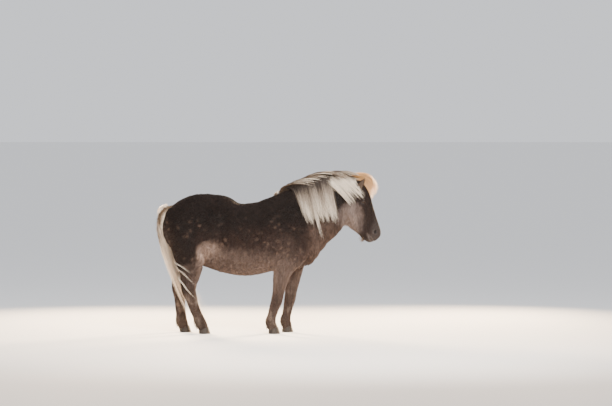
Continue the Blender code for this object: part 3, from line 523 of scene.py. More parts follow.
def coatColour(finish):
    place = finish.place()
    wander = finish.noise(place, 3.2, 3.0, "Color")
    moved = finish.shifted(place, wander, 0.24)
    mottle = finish.noise(place, 24.0, 4.0, rough=0.6)
    x, _, z = finish.parts(moved)
    back = z.ramp(0.84, 1.16)
    colour = finish.mix(back, coatColours["barrel"], coatColours["back"])
    face = x.ramp(0.74, 0.82) * z.ramp(0.86, 0.94)
    colour = finish.mix(face, colour, coatColours["face"])
    leg = z.ramp(0.66, 0.4)
    colour = finish.mix(leg, colour, coatColours["leg"])
    ash = finish.noise(place, 9.0, 4.0).ramp(0.5, 0.66) * z.ramp(0.52, 0.3)
    colour = finish.mix(ash * 0.85, colour, coatColours["legAsh"])
    for name, px, pz, rx, rz, strength in coatPatches:
        near = ((x - px) / rx) ** 2 + ((z - pz) / rz) ** 2
        edge = near + (mottle - 0.5) * 1.3  # broken into flecks towards its border
        colour = finish.mix(edge.ramp(2.3, 0.0) * strength, colour, coatColours[name])
    combed = finish.noise(finish.stretched(place, (46.0, 46.0, 8.0)), 1.0, 4.0, rough=0.6)
    shade = finish.times(colour, (0.5, 0.46, 0.44))
    colour = finish.mix(combed.ramp(0.58, 0.4) * 0.7, colour, shade)
    spots = finish.node(
        "ShaderNodeTexVoronoi", {"feature": "SMOOTH_F1"}, "Distance",
        Vector=finish.shifted(place, finish.noise(place, 11.0, 2.0, "Color"), 0.035),
        Scale=coatColours["dappleSize"], Smoothness=0.25,
    )
    where = z.ramp(0.6, 0.74) * z.ramp(1.24, 1.02) * x.ramp(0.56, 0.34)
    where = where * finish.noise(place, 4.0, 2.0).ramp(0.34, 0.56)
    colour = finish.mix(spots.ramp(0.4, 0.14) * where * 0.62, colour, coatColours["dapple"])
    down = x + z * -0.42  # along the nose
    colour = finish.mix(down.ramp(0.555, 0.63) * face * 0.8, colour, coatColours["muzzle"])
    colour = finish.mix(finish.attribute("lips") * 0.5, colour, coatColours["lips"])
    colour = finish.mix(finish.attribute("earCup") * 0.55, colour, coatColours["earInside"])
    return colour


skin = {
    "firstGrain": 0.006,
    "fineGrain": 0.0036,
    "triangles": 150000,
    "faceSlope": math.radians(67.2),
    "poll": Vector((0.82, 0, 1.49)),
    "eyeDown": 0.212,
    "eyeForward": 0.048,
    "eyeRadius": 0.0235,
    "eyeDepth": 0.0185,
    "lidThickness": 0.0042,
    "eyeOpening": (0.023, 0.015),  # half length, half height
    "eyeOut": 0.098,
    # the way down the face, forward, then half length, half width and depth of the cut
    "nostril": (0.538, 0.046, 0.02, 0.0092, 0.018),
    "nostrilTail": (0.524, 0.056, 0.008, 0.012, 0.012),
    "nostrilOut": 0.056,
}


def filled(*rows):
    # a row may leave out its last two values, the roundness of both halves
    return [(*row, 2.0, 2.0)[:8] for row in rows]


# x, y, z of the middle, reach to the top or front, reach to the belly or back, half width, roundness
torso = filled(
    (-1.055, 0, 1.095, 0.055, 0.055, 0.05),  # seat bone
    (-1.03, 0, 1.09, 0.135, 0.125, 0.13),
    (-0.96, 0, 1.08, 0.213, 0.235, 0.205),
    (-0.86, 0, 1.07, 0.285, 0.3, 0.25),
    (-0.69, 0, 1.05, 0.352, 0.345, 0.278, 1.9, 2.1),  # croup
    (-0.52, 0, 1.000, 0.384, 0.355, 0.288, 1.9, 2.1),
    (-0.35, 0, 0.955, 0.352, 0.365, 0.306, 2.0, 2.1),  # loin
    (-0.21, 0, 0.935, 0.368, 0.363, 0.316, 2.0, 2.1),
    (-0.07, 0, 0.935, 0.384, 0.34, 0.308, 1.9, 2.1),
    (0.05, 0, 0.945, 0.415, 0.317, 0.282, 1.8, 2.1),
    (0.17, 0, 0.955, 0.44, 0.305, 0.25, 1.7, 2.1),  # withers
    (0.29, 0, 0.95, 0.38, 0.29, 0.228, 1.8),
    (0.39, 0, 0.93, 0.31, 0.268, 0.205),
    (0.46, 0, 0.925, 0.25, 0.196, 0.16),
    (0.505, 0, 0.935, 0.13, 0.1, 0.095),  # breast
)
neck = filled(
    (0.06, 0, 0.95, 0.33, 0.3, 0.21, 1.8),
    (0.24, 0, 1.085, 0.345, 0.35, 0.195, 1.7),
    (0.41, 0, 1.21, 0.305, 0.365, 0.162, 1.7),
    (0.56, 0, 1.3, 0.268, 0.338, 0.134, 1.7),
    (0.68, 0, 1.355, 0.222, 0.288, 0.116, 1.8),
    (0.78, 0, 1.385, 0.178, 0.228, 0.1, 1.9),
    (0.85, 0, 1.4, 0.12, 0.12, 0.075),
)
# the way down the face from the poll, then as above
head = (
    (-0.04, 0.04, 0.06, 0.035, 2.0, 2.0),
    (-0.005, 0.088, 0.11, 0.064, 2.0, 2.0),
    (0.08, 0.14, 0.14, 0.088, 2.2, 2.1),  # forehead
    (0.175, 0.146, 0.185, 0.113, 2.2, 2.3),  # eyes
    (0.27, 0.132, 0.212, 0.104, 2.0, 2.5),  # cheek
    (0.36, 0.122, 0.195, 0.08, 2.0, 2.3),
    (0.44, 0.115, 0.15, 0.063, 2.2, 2.0),
    (0.51, 0.11, 0.115, 0.061, 2.4, 2.0),  # nostrils
    (0.57, 0.098, 0.085, 0.059, 2.4, 2.1),  # lips
    (0.608, 0.066, 0.058, 0.046, 2.2, 2.1),
    (0.622, 0.03, 0.026, 0.025, 2.0, 2.0),
)
frontRight = filled(
    (0.245, 0.12, 1.06, 0.11, 0.13, 0.08),
    (0.27, 0.15, 0.93, 0.165, 0.17, 0.088),
    (0.225, 0.158, 0.8, 0.165, 0.15, 0.094),
    (0.165, 0.152, 0.69, 0.125, 0.115, 0.086),  # elbow
    (0.132, 0.146, 0.6, 0.098, 0.085, 0.075),
    (0.118, 0.141, 0.51, 0.077, 0.07, 0.063),
    (0.104, 0.136, 0.42, 0.063, 0.06, 0.055),
    (0.084, 0.133, 0.325, 0.06, 0.056, 0.055, 2.3, 2.1),  # knee
    (0.062, 0.131, 0.25, 0.05, 0.052, 0.046, 2.1),
    (0.042, 0.129, 0.18, 0.046, 0.05, 0.042),
    (0.03, 0.128, 0.115, 0.052, 0.058, 0.05),  # fetlock
    (0.044, 0.127, 0.068, 0.052, 0.05, 0.049),
    (0.056, 0.127, 0.02, 0.05, 0.048, 0.048),
)
frontLeft = filled(
    (0.255, 0.12, 1.06, 0.11, 0.13, 0.08),
    (0.29, 0.15, 0.93, 0.165, 0.17, 0.088),
    (0.275, 0.158, 0.8, 0.16, 0.155, 0.094),
    (0.252, 0.152, 0.69, 0.125, 0.12, 0.086),
    (0.246, 0.146, 0.6, 0.098, 0.088, 0.075),
    (0.238, 0.141, 0.51, 0.08, 0.072, 0.063),
    (0.228, 0.136, 0.42, 0.065, 0.06, 0.055),
    (0.214, 0.133, 0.325, 0.06, 0.056, 0.055, 2.3, 2.1),
    (0.2, 0.131, 0.25, 0.05, 0.051, 0.046, 2.1),
    (0.187, 0.129, 0.18, 0.046, 0.05, 0.042),
    (0.176, 0.128, 0.115, 0.052, 0.058, 0.05),
    (0.186, 0.127, 0.068, 0.052, 0.05, 0.049),
    (0.196, 0.127, 0.02, 0.05, 0.048, 0.048),
)
hindRight = filled(
    (-0.77, 0.115, 1.18, 0.15, 0.15, 0.11),
    (-0.8, 0.145, 1.04, 0.205, 0.205, 0.122),
    (-0.785, 0.16, 0.9, 0.195, 0.19, 0.118),
    (-0.77, 0.162, 0.78, 0.16, 0.17, 0.103),  # stifle
    (-0.768, 0.154, 0.68, 0.13, 0.142, 0.086),
    (-0.776, 0.146, 0.59, 0.106, 0.108, 0.069),
    (-0.788, 0.139, 0.51, 0.086, 0.085, 0.058),
    (-0.786, 0.134, 0.435, 0.071, 0.078, 0.056, 2.1, 1.8),  # hock
    (-0.766, 0.132, 0.365, 0.061, 0.062, 0.051),
    (-0.738, 0.13, 0.27, 0.054, 0.054, 0.044),
    (-0.7, 0.129, 0.18, 0.052, 0.053, 0.044),
    (-0.674, 0.129, 0.12, 0.057, 0.06, 0.052),  # fetlock
    (-0.652, 0.129, 0.068, 0.055, 0.051, 0.05),
    (-0.64, 0.129, 0.02, 0.05, 0.048, 0.048),
)
hindLeft = filled(
    (-0.78, 0.115, 1.18, 0.15, 0.15, 0.11),
    (-0.81, 0.145, 1.04, 0.205, 0.205, 0.122),
    (-0.815, 0.16, 0.9, 0.195, 0.19, 0.118),
    (-0.822, 0.162, 0.78, 0.165, 0.165, 0.103),
    (-0.84, 0.154, 0.68, 0.14, 0.135, 0.086),
    (-0.864, 0.146, 0.59, 0.112, 0.104, 0.069),
    (-0.886, 0.139, 0.51, 0.088, 0.084, 0.058),
    (-0.894, 0.134, 0.435, 0.07, 0.076, 0.056, 2.1, 1.8),
    (-0.89, 0.132, 0.365, 0.059, 0.06, 0.051),
    (-0.884, 0.13, 0.27, 0.052, 0.054, 0.044),
    (-0.876, 0.129, 0.18, 0.052, 0.053, 0.044),
    (-0.87, 0.129, 0.12, 0.056, 0.06, 0.052),
    (-0.856, 0.129, 0.068, 0.055, 0.051, 0.05),
    (-0.846, 0.129, 0.02, 0.05, 0.048, 0.048),
)
legs = {
    "frontRight": (frontRight, -1),
    "frontLeft": (frontLeft, 1),
    "hindRight": (hindRight, -1),
    "hindLeft": (hindLeft, 1),
}
ears = {
    "root": (0.872, 0.054, 1.424),
    "length": 0.16,
    # share of the length, half width, half depth
    "sections": (
        (-0.05, 0.02, 0.018), (0.2, 0.028, 0.024), (0.4, 0.033, 0.024), (0.6, 0.031, 0.02),
        (0.8, 0.021, 0.014), (0.93, 0.01, 0.007), (1.00, 0.003, 0.003),
    ),
    "hairDepth": 0.003,
}


def headWays():
    down = Vector((math.cos(skin["faceSlope"]), 0, -math.sin(skin["faceSlope"])))
    return down, Vector((-down.z, 0, down.x))


def headPoint(wayDown, forward, side=0.0):
    down, out = headWays()
    return skin["poll"] + down * wayDown + out * forward + Vector((0, side, 0))


def eyeSpot(side):
    return headPoint(skin["eyeDown"], skin["eyeForward"], side * skin["eyeOut"])


def nostrilSpot(side):
    return headPoint(*skin["nostril"][:2], side * skin["nostrilOut"])


def farFrom(points, spot):
    return np.linalg.norm(points - np.array(spot), axis=1)


def faceShare(points):
    # 1 on the face, 0 on the neck
    return np.clip((points[:, 0] - 0.72) / 0.1, 0, 1) * np.clip((points[:, 2] - 0.8) / 0.05, 0, 1)


def coatDepth(points):
    # how far the skin lies below the outside of the coat
    x, _, z = points.T
    depth = 0.007 + 0.013 * smoothStep(0.35, 0.8, z)
    depth += 0.004 * smoothStep(0.75, 0.62, z) * smoothStep(-0.75, -0.5, x) * smoothStep(0.35, 0.1, x)
    depth = np.where(x > 0.5, np.minimum(depth, 0.017), depth)
    face = faceShare(points)
    return depth * (1 - face) + 0.0035 * face


# strokes on both sides of the body: their points, reach, rise
bodyStrokes = (
    (((0.06, 0.27, 1.1), (0.02, 0.29, 0.8)), 0.1, -0.01),  # behind the shoulder
    (((-0.46, 0.28, 1.12), (-0.5, 0.27, 0.9)), 0.12, -0.014),  # flank
    (((0.66, 0.12, 1.22), (0.44, 0.17, 1.02)), 0.06, -0.008),  # along the neck
    (((-0.5, 0.22, 1.26),), 0.1, 0.01),  # point of the hip
    (((-0.7, 0.27, 0.96), (-0.66, 0.24, 0.8)), 0.1, 0.006),  # stifle
    (((0.2, 0.24, 0.86), (0.14, 0.22, 0.72)), 0.08, 0.006),  # arm
)


def sculptBody(mesh):
    for side in (-1, 1):
        for path, reach, rise in bodyStrokes:
            brush(mesh, [(x, side * y, z) for x, y, z in path], reach, rise)
    # the hollow between the neck and the breast, and the breast below it
    brush(mesh, [(0.535, 0, 0.87)], 0.085, 0.022)
    brush(mesh, [(0.5, 0, 0.75)], 0.075, -0.014)


def nostrilRim(side):
    down, out = skin["nostril"][:2]
    turns = [math.tau * k / 10 for k in range(11)]
    return [headPoint(down + 0.024 * math.cos(t), out + 0.02 * math.sin(t), side * 0.062) for t in turns]


def eyeArc(side, far, up):
    # a curve over or under the eye, on the side of the face
    down, out = headWays()
    along = (down * 0.86 + out * 0.51).normalized()
    over = Vector((along.z, 0, -along.x)) * -up
    middle = headPoint(skin["eyeDown"], skin["eyeForward"], side * 0.102)
    return [middle + along * (0.026 * k / 3) + over * (far * (1 - 0.09 * k * k)) for k in range(-3, 4)]


def mouthLine():
    right = [headPoint(*spot) for spot in (
        (0.52, -0.036, -0.07), (0.555, -0.03, -0.064), (0.59, -0.018, -0.05), (0.615, -0.008, -0.028),
        (0.63, -0.004, 0.0),
    )]
    return right + [Vector((p.x, -p.y, p.z)) for p in reversed(right[:-1])]


# strokes on both sides of the face: their points as ways down, forward and out, then reach, rise
browStrokes = (
    (((0.13, 0.045, 0.1),), 0.045, -0.007),  # hollow over the eye
    (((0.175, 0.075, 0.095), (0.19, 0.03, 0.105)), 0.036, 0.006),  # brow
    (((0.265, 0.085, 0.08), (0.35, 0.08, 0.07)), 0.055, -0.007),  # below the eye
    (((0.235, 0.022, 0.105), (0.325, 0.018, 0.085)), 0.028, 0.008),  # cheekbone
    (((0.235, -0.11, 0.095), (0.3, -0.1, 0.09)), 0.09, 0.008),  # round of the jaw
    (((0.4, -0.04, 0.075), (0.35, -0.03, 0.085)), 0.04, -0.005),
    (((0.43, 0.01, 0.065), (0.47, -0.02, 0.06)), 0.05, -0.007),  # drawn in behind the nostril
)
lipStrokes = (
    (((0.575, 0.005, 0.052), (0.605, 0.02, 0.034)), 0.028, 0.004),
    (((0.555, -0.062, 0.045), (0.595, -0.042, 0.026)), 0.03, 0.006),
    # folds from the nostril back, and at the corner of the mouth
    *(
        (((0.505 - 0.016 * k, 0.03, 0.062), (0.505 - 0.016 * k - 0.006, -0.008, 0.064)), 0.008, -0.0018)
        for k in range(3)
    ),
    *(
        (((0.508 - 0.012 * k, -0.022, 0.066), (0.508 - 0.012 * k - 0.004, -0.052, 0.062)), 0.008, -0.002)
        for k in range(2)
    ),
)
# folds of the upper lid and under the eye: distance from its middle, over or under, rise
lidFolds = ((0.022, 1, 0.0036), (0.031, 1, -0.0044), (0.042, 1, 0.0036), (0.023, -1, 0.0024), (0.031, -1, -0.0034))


def sculptHead(mesh):
    def strokes(rows):
        for path, reach, rise in rows:
            brush(mesh, [headPoint(down, out, side * aside) for down, out, aside in path], reach, rise)

    for side in (-1, 1):
        strokes(browStrokes)
        brush(mesh, nostrilRim(side), 0.016, 0.008)
        strokes(((((0.56, 0.02, 0.06), (0.585, 0.03, 0.05)), 0.014, -0.003),))
        for far, up, rise in lidFolds:
            brush(mesh, eyeArc(side, far, up), 0.009, rise)
        strokes(lipStrokes)
    brush(mesh, [headPoint(0.545, -0.08)], 0.045, 0.008)


def hitFromSide(tree, spot, side):
    hit, _, _, _ = tree.ray_cast(spot + Vector((0, side * 0.3, 0)), Vector((0, -side, 0)))
    return hit


def eyePlace(tree, side):
    hit = hitFromSide(tree, headPoint(skin["eyeDown"], skin["eyeForward"]), side)
    _, out = headWays()
    return hit - Vector((0, side * skin["eyeDepth"], 0)), (Vector((0, side, 0)) + out * 0.22).normalized()


def eyeWays(facing):
    down, out = headWays()
    along = (down * 0.86 + out * 0.51).normalized()
    along = (along - facing * along.dot(facing)).normalized()
    return along, facing.cross(along)


def mouthGroove(tree):
    line = mouthLine()
    run = [0.0]
    for before, after in zip(line, line[1:]):
        run.append(run[-1] + (after - before).length)
    steps = 60
    points, rings = [], []
    for i in range(steps + 1):
        at = run[-1] * i / steps
        point = Vector([float(np.interp(at, run, [p[k] for p in line])) for k in range(3)])
        points.append(tree.find_nearest(point)[0])
    for i, point in enumerate(points):
        along = (points[min(i + 1, steps)] - points[max(i - 1, 0)]).normalized()
        across = along.cross(Vector((0, 0, 1))).normalized()
        up = across.cross(along).normalized()
        size = 0.004 * (0.4 + 0.6 * min(1, 4 * i / steps, 4 * (steps - i) / steps))
        rings += [point + (across * 1.3 * math.cos(a) + up * math.sin(a)) * size for a in np.arange(10) * math.tau / 10]
    rings += [points[0], points[-1]]
    obj = meshObject("groove", rings, tubeFaces(steps + 1, 10))
    facedOutwards(obj.data)
    return obj


def earWays(side):
    axis = Vector((0.58, side * 0.14, 0.8)).normalized()
    opening = Vector((0.5, side * 0.8, -0.25))
    opening = (opening - axis * opening.dot(axis)).normalized()
    return axis, opening, axis.cross(opening), Vector((ears["root"][0], side * ears["root"][1], ears["root"][2]))


def earForm(side):
    axis, opening, across, root = earWays(side)
    around, levels, thinnest = 28, 22, 0.0012
    angle = np.arange(around) * math.tau / around

    def shell(sections, shift):
        # extra sections between the given ones, so that the edge is a smooth curve
        ways = np.linspace(sections[0][0], sections[-1][0], levels)
        given = np.array(sections)
        points = []
        for way in ways:
            sizes = (float(np.interp(way, given[:, 0], given[:, k])) for k in (1, 2))
            half, deep = (max(size - ears["hairDepth"], thinnest) for size in sizes)
            middle = root + axis * (way * ears["length"]) + opening * shift(way)
            points += [middle + across * (half * math.cos(a)) + opening * (deep * math.sin(a)) for a in angle]
        for way in (ways[0], ways[-1]):
            points.append(root + axis * (way * ears["length"]) + opening * shift(way))
        obj = meshObject("earShell", points, tubeFaces(levels, around))
        facedOutwards(obj.data)
        return obj

    outer = shell(ears["sections"], lambda way: 0.01 * way)
    cup = [(way, half * 0.86, deep) for way, half, deep in ears["sections"][1:-1]]
    inner = shell(cup, lambda way: 0.013 + 0.004 * way)
    return cutOrJoin(outer, [inner], "DIFFERENCE", "ear")


def headForms(tree):
    # what is added to the head, what is cut from it, and each eye's place
    unions, cuts, eyes = [], [], []
    down, out = headWays()
    long, wide = (down * 0.8 - out * 0.6).normalized(), (down * 0.6 + out * 0.8).normalized()
    halfLong, halfHigh = skin["eyeOpening"]
    for side, name in ((-1, "Right"), (1, "Left")):
        middle, facing = eyePlace(tree, side)
        along, over = eyeWays(facing)

        def round(label, radius):
            return ellipsoid(label, middle, (along * radius, over * radius, facing * radius), 48, 32)

        unions.append(round("lid", skin["eyeRadius"] + skin["lidThickness"]))
        unions.append(earForm(side))
        cuts.append(round("socket", skin["eyeRadius"] + 0.0003))
        opening = middle + facing * (skin["eyeRadius"] + 0.004)
        cuts.append(ellipsoid("opening", opening, (along * halfLong, over * halfHigh, facing * 0.012), 40, 24))
        for label, segments, rings in (("nostril", 32, 20), ("nostrilTail", 24, 16)):
            spotDown, spotOut, a, b, deep = skin[label]
            hit = hitFromSide(tree, headPoint(spotDown, spotOut), side)
            cuts.append(ellipsoid(label, hit, (long * a, wide * b, Vector((0, side * deep, 0))), segments, rings))
        eyes.append((name, middle, facing))
    cuts.append(mouthGroove(tree))
    return unions, cuts, eyes


def buildSkin():
    rows = []
    for wayDown, *sizes in head:
        middle = headPoint(wayDown, 0)
        rows.append((middle.x, 0, middle.z, *sizes))
    forms = [loft("torsoForm", torso), loft("neckForm", neck), loft("headForm", rows)]
    for name, (stations, side) in legs.items():
        forms.append(loft(name + "Form", stations, side))
    body = remeshed(joinedMesh(forms, "skin"), skin["firstGrain"])
    points = pointsOf(body.data)
    low = np.clip((0.62 - points[:, 2]) / 0.1, 0, 1)
    relax(body.data, 40, 0.5 * (1 - faceShare(points)) * (1 - low))
    relax(body.data, 8, np.full(len(points), 0.5))
    points = pointsOf(body.data)
    relax(body.data, 90, 0.5 * smoothStep(0.22, 0.1, farFrom(points, (0.545, 0, 0.93))))  # between neck and breast
    sculptBody(body.data)
    points = pointsOf(body.data)
    movePoints(body.data, points - normalsOf(body.data) * coatDepth(points)[:, None])
    relax(body.data, 4, np.full(len(points), 0.5) * (1 - faceShare(points)))
    report("body form", len(body.data.polygons), "faces")
    body = remeshed(body, skin["fineGrain"])
    relax(body.data, 4, np.full(len(body.data.vertices), 0.5))
    sculptHead(body.data)
    relax(body.data, 2, np.full(len(body.data.vertices), 0.4))
    report("fine form", len(body.data.polygons), "faces")
    unions, cuts, eyes = headForms(searchTree([body]))
    body = cutOrJoin(body, unions, "UNION", "skin")
    body = cutOrJoin(body, cuts, "DIFFERENCE", "skin")
    report("lids, ears, nostrils and mouth", len(body.data.polygons), "faces")
    thin = body.modifiers.new("thin", "DECIMATE")
    thin.ratio = skin["triangles"] / len(body.data.polygons)
    body = settled(body, "skin")
    relax(body.data, 1, np.full(len(body.data.vertices), 0.3))
    smoothShaded(body.data)
    report("skin", len(body.data.polygons), "faces")
    return body, eyes


# name, then left, low, width and height of its place on the map
regions = (
    *((name, 0.0, 0.5, 1.0, 0.5) for name in (
        "rumpRight", "rumpLeft", "barrelRight", "barrelLeft", "shoulderRight", "shoulderLeft", "neck",
    )),
    ("head", 0.00, 0.00, 0.36, 0.5),
    ("frontRight", 0.36, 0.00, 0.16, 0.5),
    ("frontLeft", 0.52, 0.00, 0.16, 0.5),
    ("hindRight", 0.68, 0.00, 0.16, 0.5),
    ("hindLeft", 0.84, 0.00, 0.16, 0.5),
)


def legMiddle(stations, heights):
    rows = np.array(stations)
    order = np.argsort(rows[:, 2])
    return (np.interp(heights, rows[order, 2], rows[order, k]) for k in (0, 1))


def rolledOut(name, p):
    # the angle round the region's own axis, and the share along it
    if name.startswith("head"):
        down, out = (np.array(v) for v in headWays())
        fromPoll = p - np.array(skin["poll"])
        return np.arctan2(p[:, 1], fromPoll @ out), (fromPoll @ down + 0.1) / 0.78
    if name in legs:
        stations, side = legs[name]
        x, y = legMiddle(stations, p[:, 2])
        return np.arctan2((p[:, 1] - side * y) * side, p[:, 0] - x), p[:, 2] / 0.66
    lift = np.interp(p[:, 0], (-1.0, 0.1, 0.4, 0.8), (1.05, 0.95, 1.16, 1.36))
    return np.arctan2(p[:, 1], p[:, 2] - lift), (p[:, 0] + 1.1) / 2.1


def unwrapSkin(body):
    # each region is rolled flat and laid in its own place on the map
    mesh = body.data
    points = pointsOf(mesh)
    corners = readOut(mesh.loops, "vertex_index", 1, int)
    middles = readOut(mesh.polygons, "center")
    region = regionOf(middles)
    owner = np.repeat(np.arange(len(middles)), readOut(mesh.polygons, "loop_total", 1, int))
    flat = np.zeros((len(corners), 2))
    for index, (name, left, low, wide, high) in enumerate(regions):
        mine = region[owner] == index
        angle, along = rolledOut(name, points[corners[mine]])
        base, _ = rolledOut(name, middles[owner[mine]])
        # a face that crosses the seam stays in one piece
        angle = np.where(angle - base > math.pi, angle - math.tau, angle)
        angle = np.where(angle - base < -math.pi, angle + math.tau, angle)
        flat[mine, 0] = left + wide * (0.03 + 0.94 * np.clip(angle / math.tau + 0.5, -0.02, 1.02))
        flat[mine, 1] = low + high * (0.03 + 0.94 * np.clip(along, 0, 1))
    mesh.uv_layers.new(name="OFBake")
    mesh.uv_layers["OFBake"].data.foreach_set("uv", flat.ravel())
    store(mesh, "region", region, "INT", "FACE")


def regionOf(points):
    # which region each point lies in, by its place in the list
    x, y, z = points.T
    left = (y > 0).astype(int)
    found = np.where(x < -0.62, 0, np.where(x < -0.1, 2, 4)) + left
    neckSide = (x - 0.34) * 0.867 + (z - 1.11) * 0.497 > 0
    found = np.where(neckSide, 6, found)
    headSide = (x - 0.74) * 0.994 + (z - 1.33) * -0.105 > 0
    found = np.where(headSide & (z > 0.8), 7, found)
    leg = np.where(x > -0.3, 8, 10) + left
    return np.where(z < 0.66, np.where((z < 0.56) | (np.abs(x + 0.3) > 0.28), leg, found), found)


def coatLie(points, normals):
    # unit vectors along the surface, the way the coat runs
    x, y, z = points.T
    side = np.sign(y)
    lie = np.stack([-0.86 + 0 * x, 0 * y, -0.5 + 0 * z], axis=1)
    # steeper over the shoulder, the thigh and the side of the neck
    steep = smoothStep(0.28, 0.0, np.abs(x - 0.22)) + smoothStep(0.3, 0.0, np.abs(x + 0.8))
    lie[:, 2] -= 0.55 * np.clip(steep, 0, 1) * smoothStep(0.95, 0.75, z)
    lie[:, 2] -= 0.6 * smoothStep(1.05, 0.8, z)
    onNeck = smoothStep(0.25, 0.45, x) * smoothStep(0.85, 1.0, z)
    lie = lie * (1 - onNeck)[:, None] + np.array([-0.55, 0, -0.84]) * onNeck[:, None]
    onLeg = smoothStep(0.72, 0.58, z)
    lie = lie * (1 - onLeg)[:, None] + np.array([-0.1, 0, -1.0]) * onLeg[:, None]
    # the belly's coat runs back and hangs
    under = smoothStep(-0.4, -0.9, normals[:, 2]) * (z > 0.5)
    lie = lie * (1 - under)[:, None] + np.array([-0.9, 0, -0.3]) * under[:, None]
    face = faceShare(points)[:, None]
    down, out = (np.array(v) for v in headWays())
    lie = lie * (1 - face) + (down * 0.95 - out * 0.3) * face
    # slow waves part the coat into clumps
    wave = np.sin(x * 41 + 3 * np.sin(z * 23)) * np.cos(z * 37 + 2 * np.sin(x * 19 + y * 13))
    lie += np.cross(normals, lie) * (0.26 * wave * (1 - face[:, 0]))[:, None]
    lie[:, 1] += 0.05 * side
    lie -= normals * np.einsum("ij,ij->i", lie, normals)[:, None]
    return lie / np.maximum(np.linalg.norm(lie, axis=1), 1e-6)[:, None]


fur = {
    "seed": 7,
    "bodyLength": 0.05,
    "bellyLength": 0.066,
    "neckLength": 0.052,
    "throatLength": 0.066,
    "legLength": 0.028,
    "faceLength": 0.016,
    "muzzleLength": 0.007,
    "jawLength": 0.034,
    "width": 0.0039,  # of a tuft on the body
    "faceWidth": 0.0026,
    "density": 25000,  # tufts on a square metre of body
    "faceDensity": 75000,
    "legDensity": 42000,
    "legWidth": 0.0031,
    "patch": 0.003,  # of a tuft on the map
    "quickShare": 0.35,
}


furValues = ("furLength", "furWidth", "furLift", "furDensity")


def furSizes(points, normals):
    x, _, z = points.T
    length = np.full(len(x), fur["bodyLength"])
    under = smoothStep(-0.2, -0.8, normals[:, 2]) * (z > 0.5)
    length += (fur["bellyLength"] - fur["bodyLength"]) * under
    onNeck = smoothStep(0.25, 0.45, x) * smoothStep(0.85, 1.0, z)
    length += (fur["neckLength"] - length) * onNeck
    throat = onNeck * smoothStep(-0.1, -0.7, normals[:, 2])
    length += (fur["throatLength"] - length) * throat
    onLeg = smoothStep(0.7, 0.45, z)
    length += (fur["legLength"] - length) * onLeg
    width = np.full(len(x), fur["width"])
    width += (fur["legWidth"] - width) * onLeg
    density = np.full(len(x), float(fur["density"]))
    density += (fur["legDensity"] - density) * onLeg
    lift = coatDepth(points) * 0.92
    face = faceShare(points)
    down, out = (np.array(v) for v in headWays())
    way = (points - np.array(skin["poll"])) @ down
    forward = (points - np.array(skin["poll"])) @ out
    faceLength = fur["faceLength"] + (fur["muzzleLength"] - fur["faceLength"]) * smoothStep(0.38, 0.5, way)
    faceLength += (fur["jawLength"] - faceLength) * smoothStep(-0.09, -0.15, forward) * smoothStep(0.5, 0.36, way)
    length += (faceLength - length) * face
    width += (fur["faceWidth"] - width) * face
    density += (fur["faceDensity"] - density) * face
    lift += (0.0034 + 0.09 * np.maximum(faceLength - 0.016, 0) - lift) * face
    # bare rims of the eye, the nostril and the lips, and no coat under the hoof's edge
    bare = np.ones(len(x))
    for side in (-1, 1):
        bare *= smoothStep(0.0195, 0.0235, farFrom(points, eyeSpot(side)))
        bare *= smoothStep(0.014, 0.021, farFrom(points, nostrilSpot(side)))
    bare *= smoothStep(0.006, 0.013, wayToPath(points, mouthLine()))
    bare *= smoothStep(0.046, 0.058, z)
    return length, width, lift, density * bare


def dressSkin(body):
    # what the fur and the finishes read from the skin
    mesh = body.data
    points, normals = pointsOf(mesh), normalsOf(mesh)
    for name, values in zip(furValues, furSizes(points, normals)):
        store(mesh, name, values)
    store(mesh, "furLie", coatLie(points, normals), "FLOAT_VECTOR")
    bare = smoothStep(0.013, 0.007, wayToPath(points, mouthLine()))
    lips = smoothStep(0.022, 0.009, wayToPath(points, mouthLine()))
    cup = np.zeros(len(points))
    for side in (-1, 1):
        bare = np.maximum(bare, smoothStep(0.025, 0.0205, farFrom(points, eyeSpot(side))))
        bare = np.maximum(bare, smoothStep(0.024, 0.015, farFrom(points, nostrilSpot(side))))
        lips = np.maximum(lips, 0.35 * smoothStep(0.013, 0.005, wayToPath(points, nostrilRim(side))))
        axis, opening, _, root = (np.array(v) for v in earWays(side))
        way = (points - root) @ axis / ears["length"]
        aside = np.linalg.norm(points - root - np.outer(way * ears["length"], axis), axis=1)
        near = (aside < 0.038 - 0.016 * way) & (way > 0.3) & (way < 1.02)
        cup[near & (normals @ opening > 0.35) & (points[:, 1] * side > 0)] = 1.0
    for name, values in (("bare", bare), ("earCup", cup), ("lips", lips)):
        store(mesh, name, values)
    mesh.materials.clear()
    mesh.materials.append(skinFinish())


def tuftShape(name, bend, droop, rings):
    # a closed, flat, three-sided tuft one unit long, with its root sunk in the skin
    points, along = [], []
    for way, high, wide in rings:
        sway = bend * way * way
        for across, over in ((-0.5, -0.1), (0.0, 0.2), (0.5, -0.1)):
            points.append((way, sway + across * wide, high + over * wide))
            along.append(way)
    points.append((1.0, bend, droop))
    along.append(1.0)
    faces = [(0, 2, 1)]
    last = len(rings) - 1
    for i in range(last):
        for j in range(3):
            k = (j + 1) % 3
            faces.append((i * 3 + j, i * 3 + k, i * 3 + 3 + k, i * 3 + 3 + j))
    for j in range(3):
        faces.append((last * 3 + j, last * 3 + (j + 1) % 3, last * 3 + 3))
    obj = meshObject(name, points, faces)
    facedOutwards(obj.data)
    store(obj.data, "along", along)
    store(obj.data, "tuftSpot", [(p[0], p[1] + 0.5, 0.0) for p in points], "FLOAT_VECTOR")
    smoothShaded(obj.data)
    return obj


def tuftSet(name, count, rings, droops):
    draw = random.Random(fur["seed"])
    home = bpy.data.collections.new(name)
    bpy.context.scene.collection.children.link(home)
    for k in range(count):
        shape = tuftShape(f"{name}{k}", draw.uniform(-0.7, 0.7), draw.uniform(*droops), rings)
        bpy.context.scene.collection.objects.unlink(shape)
        home.objects.link(shape)
    return home


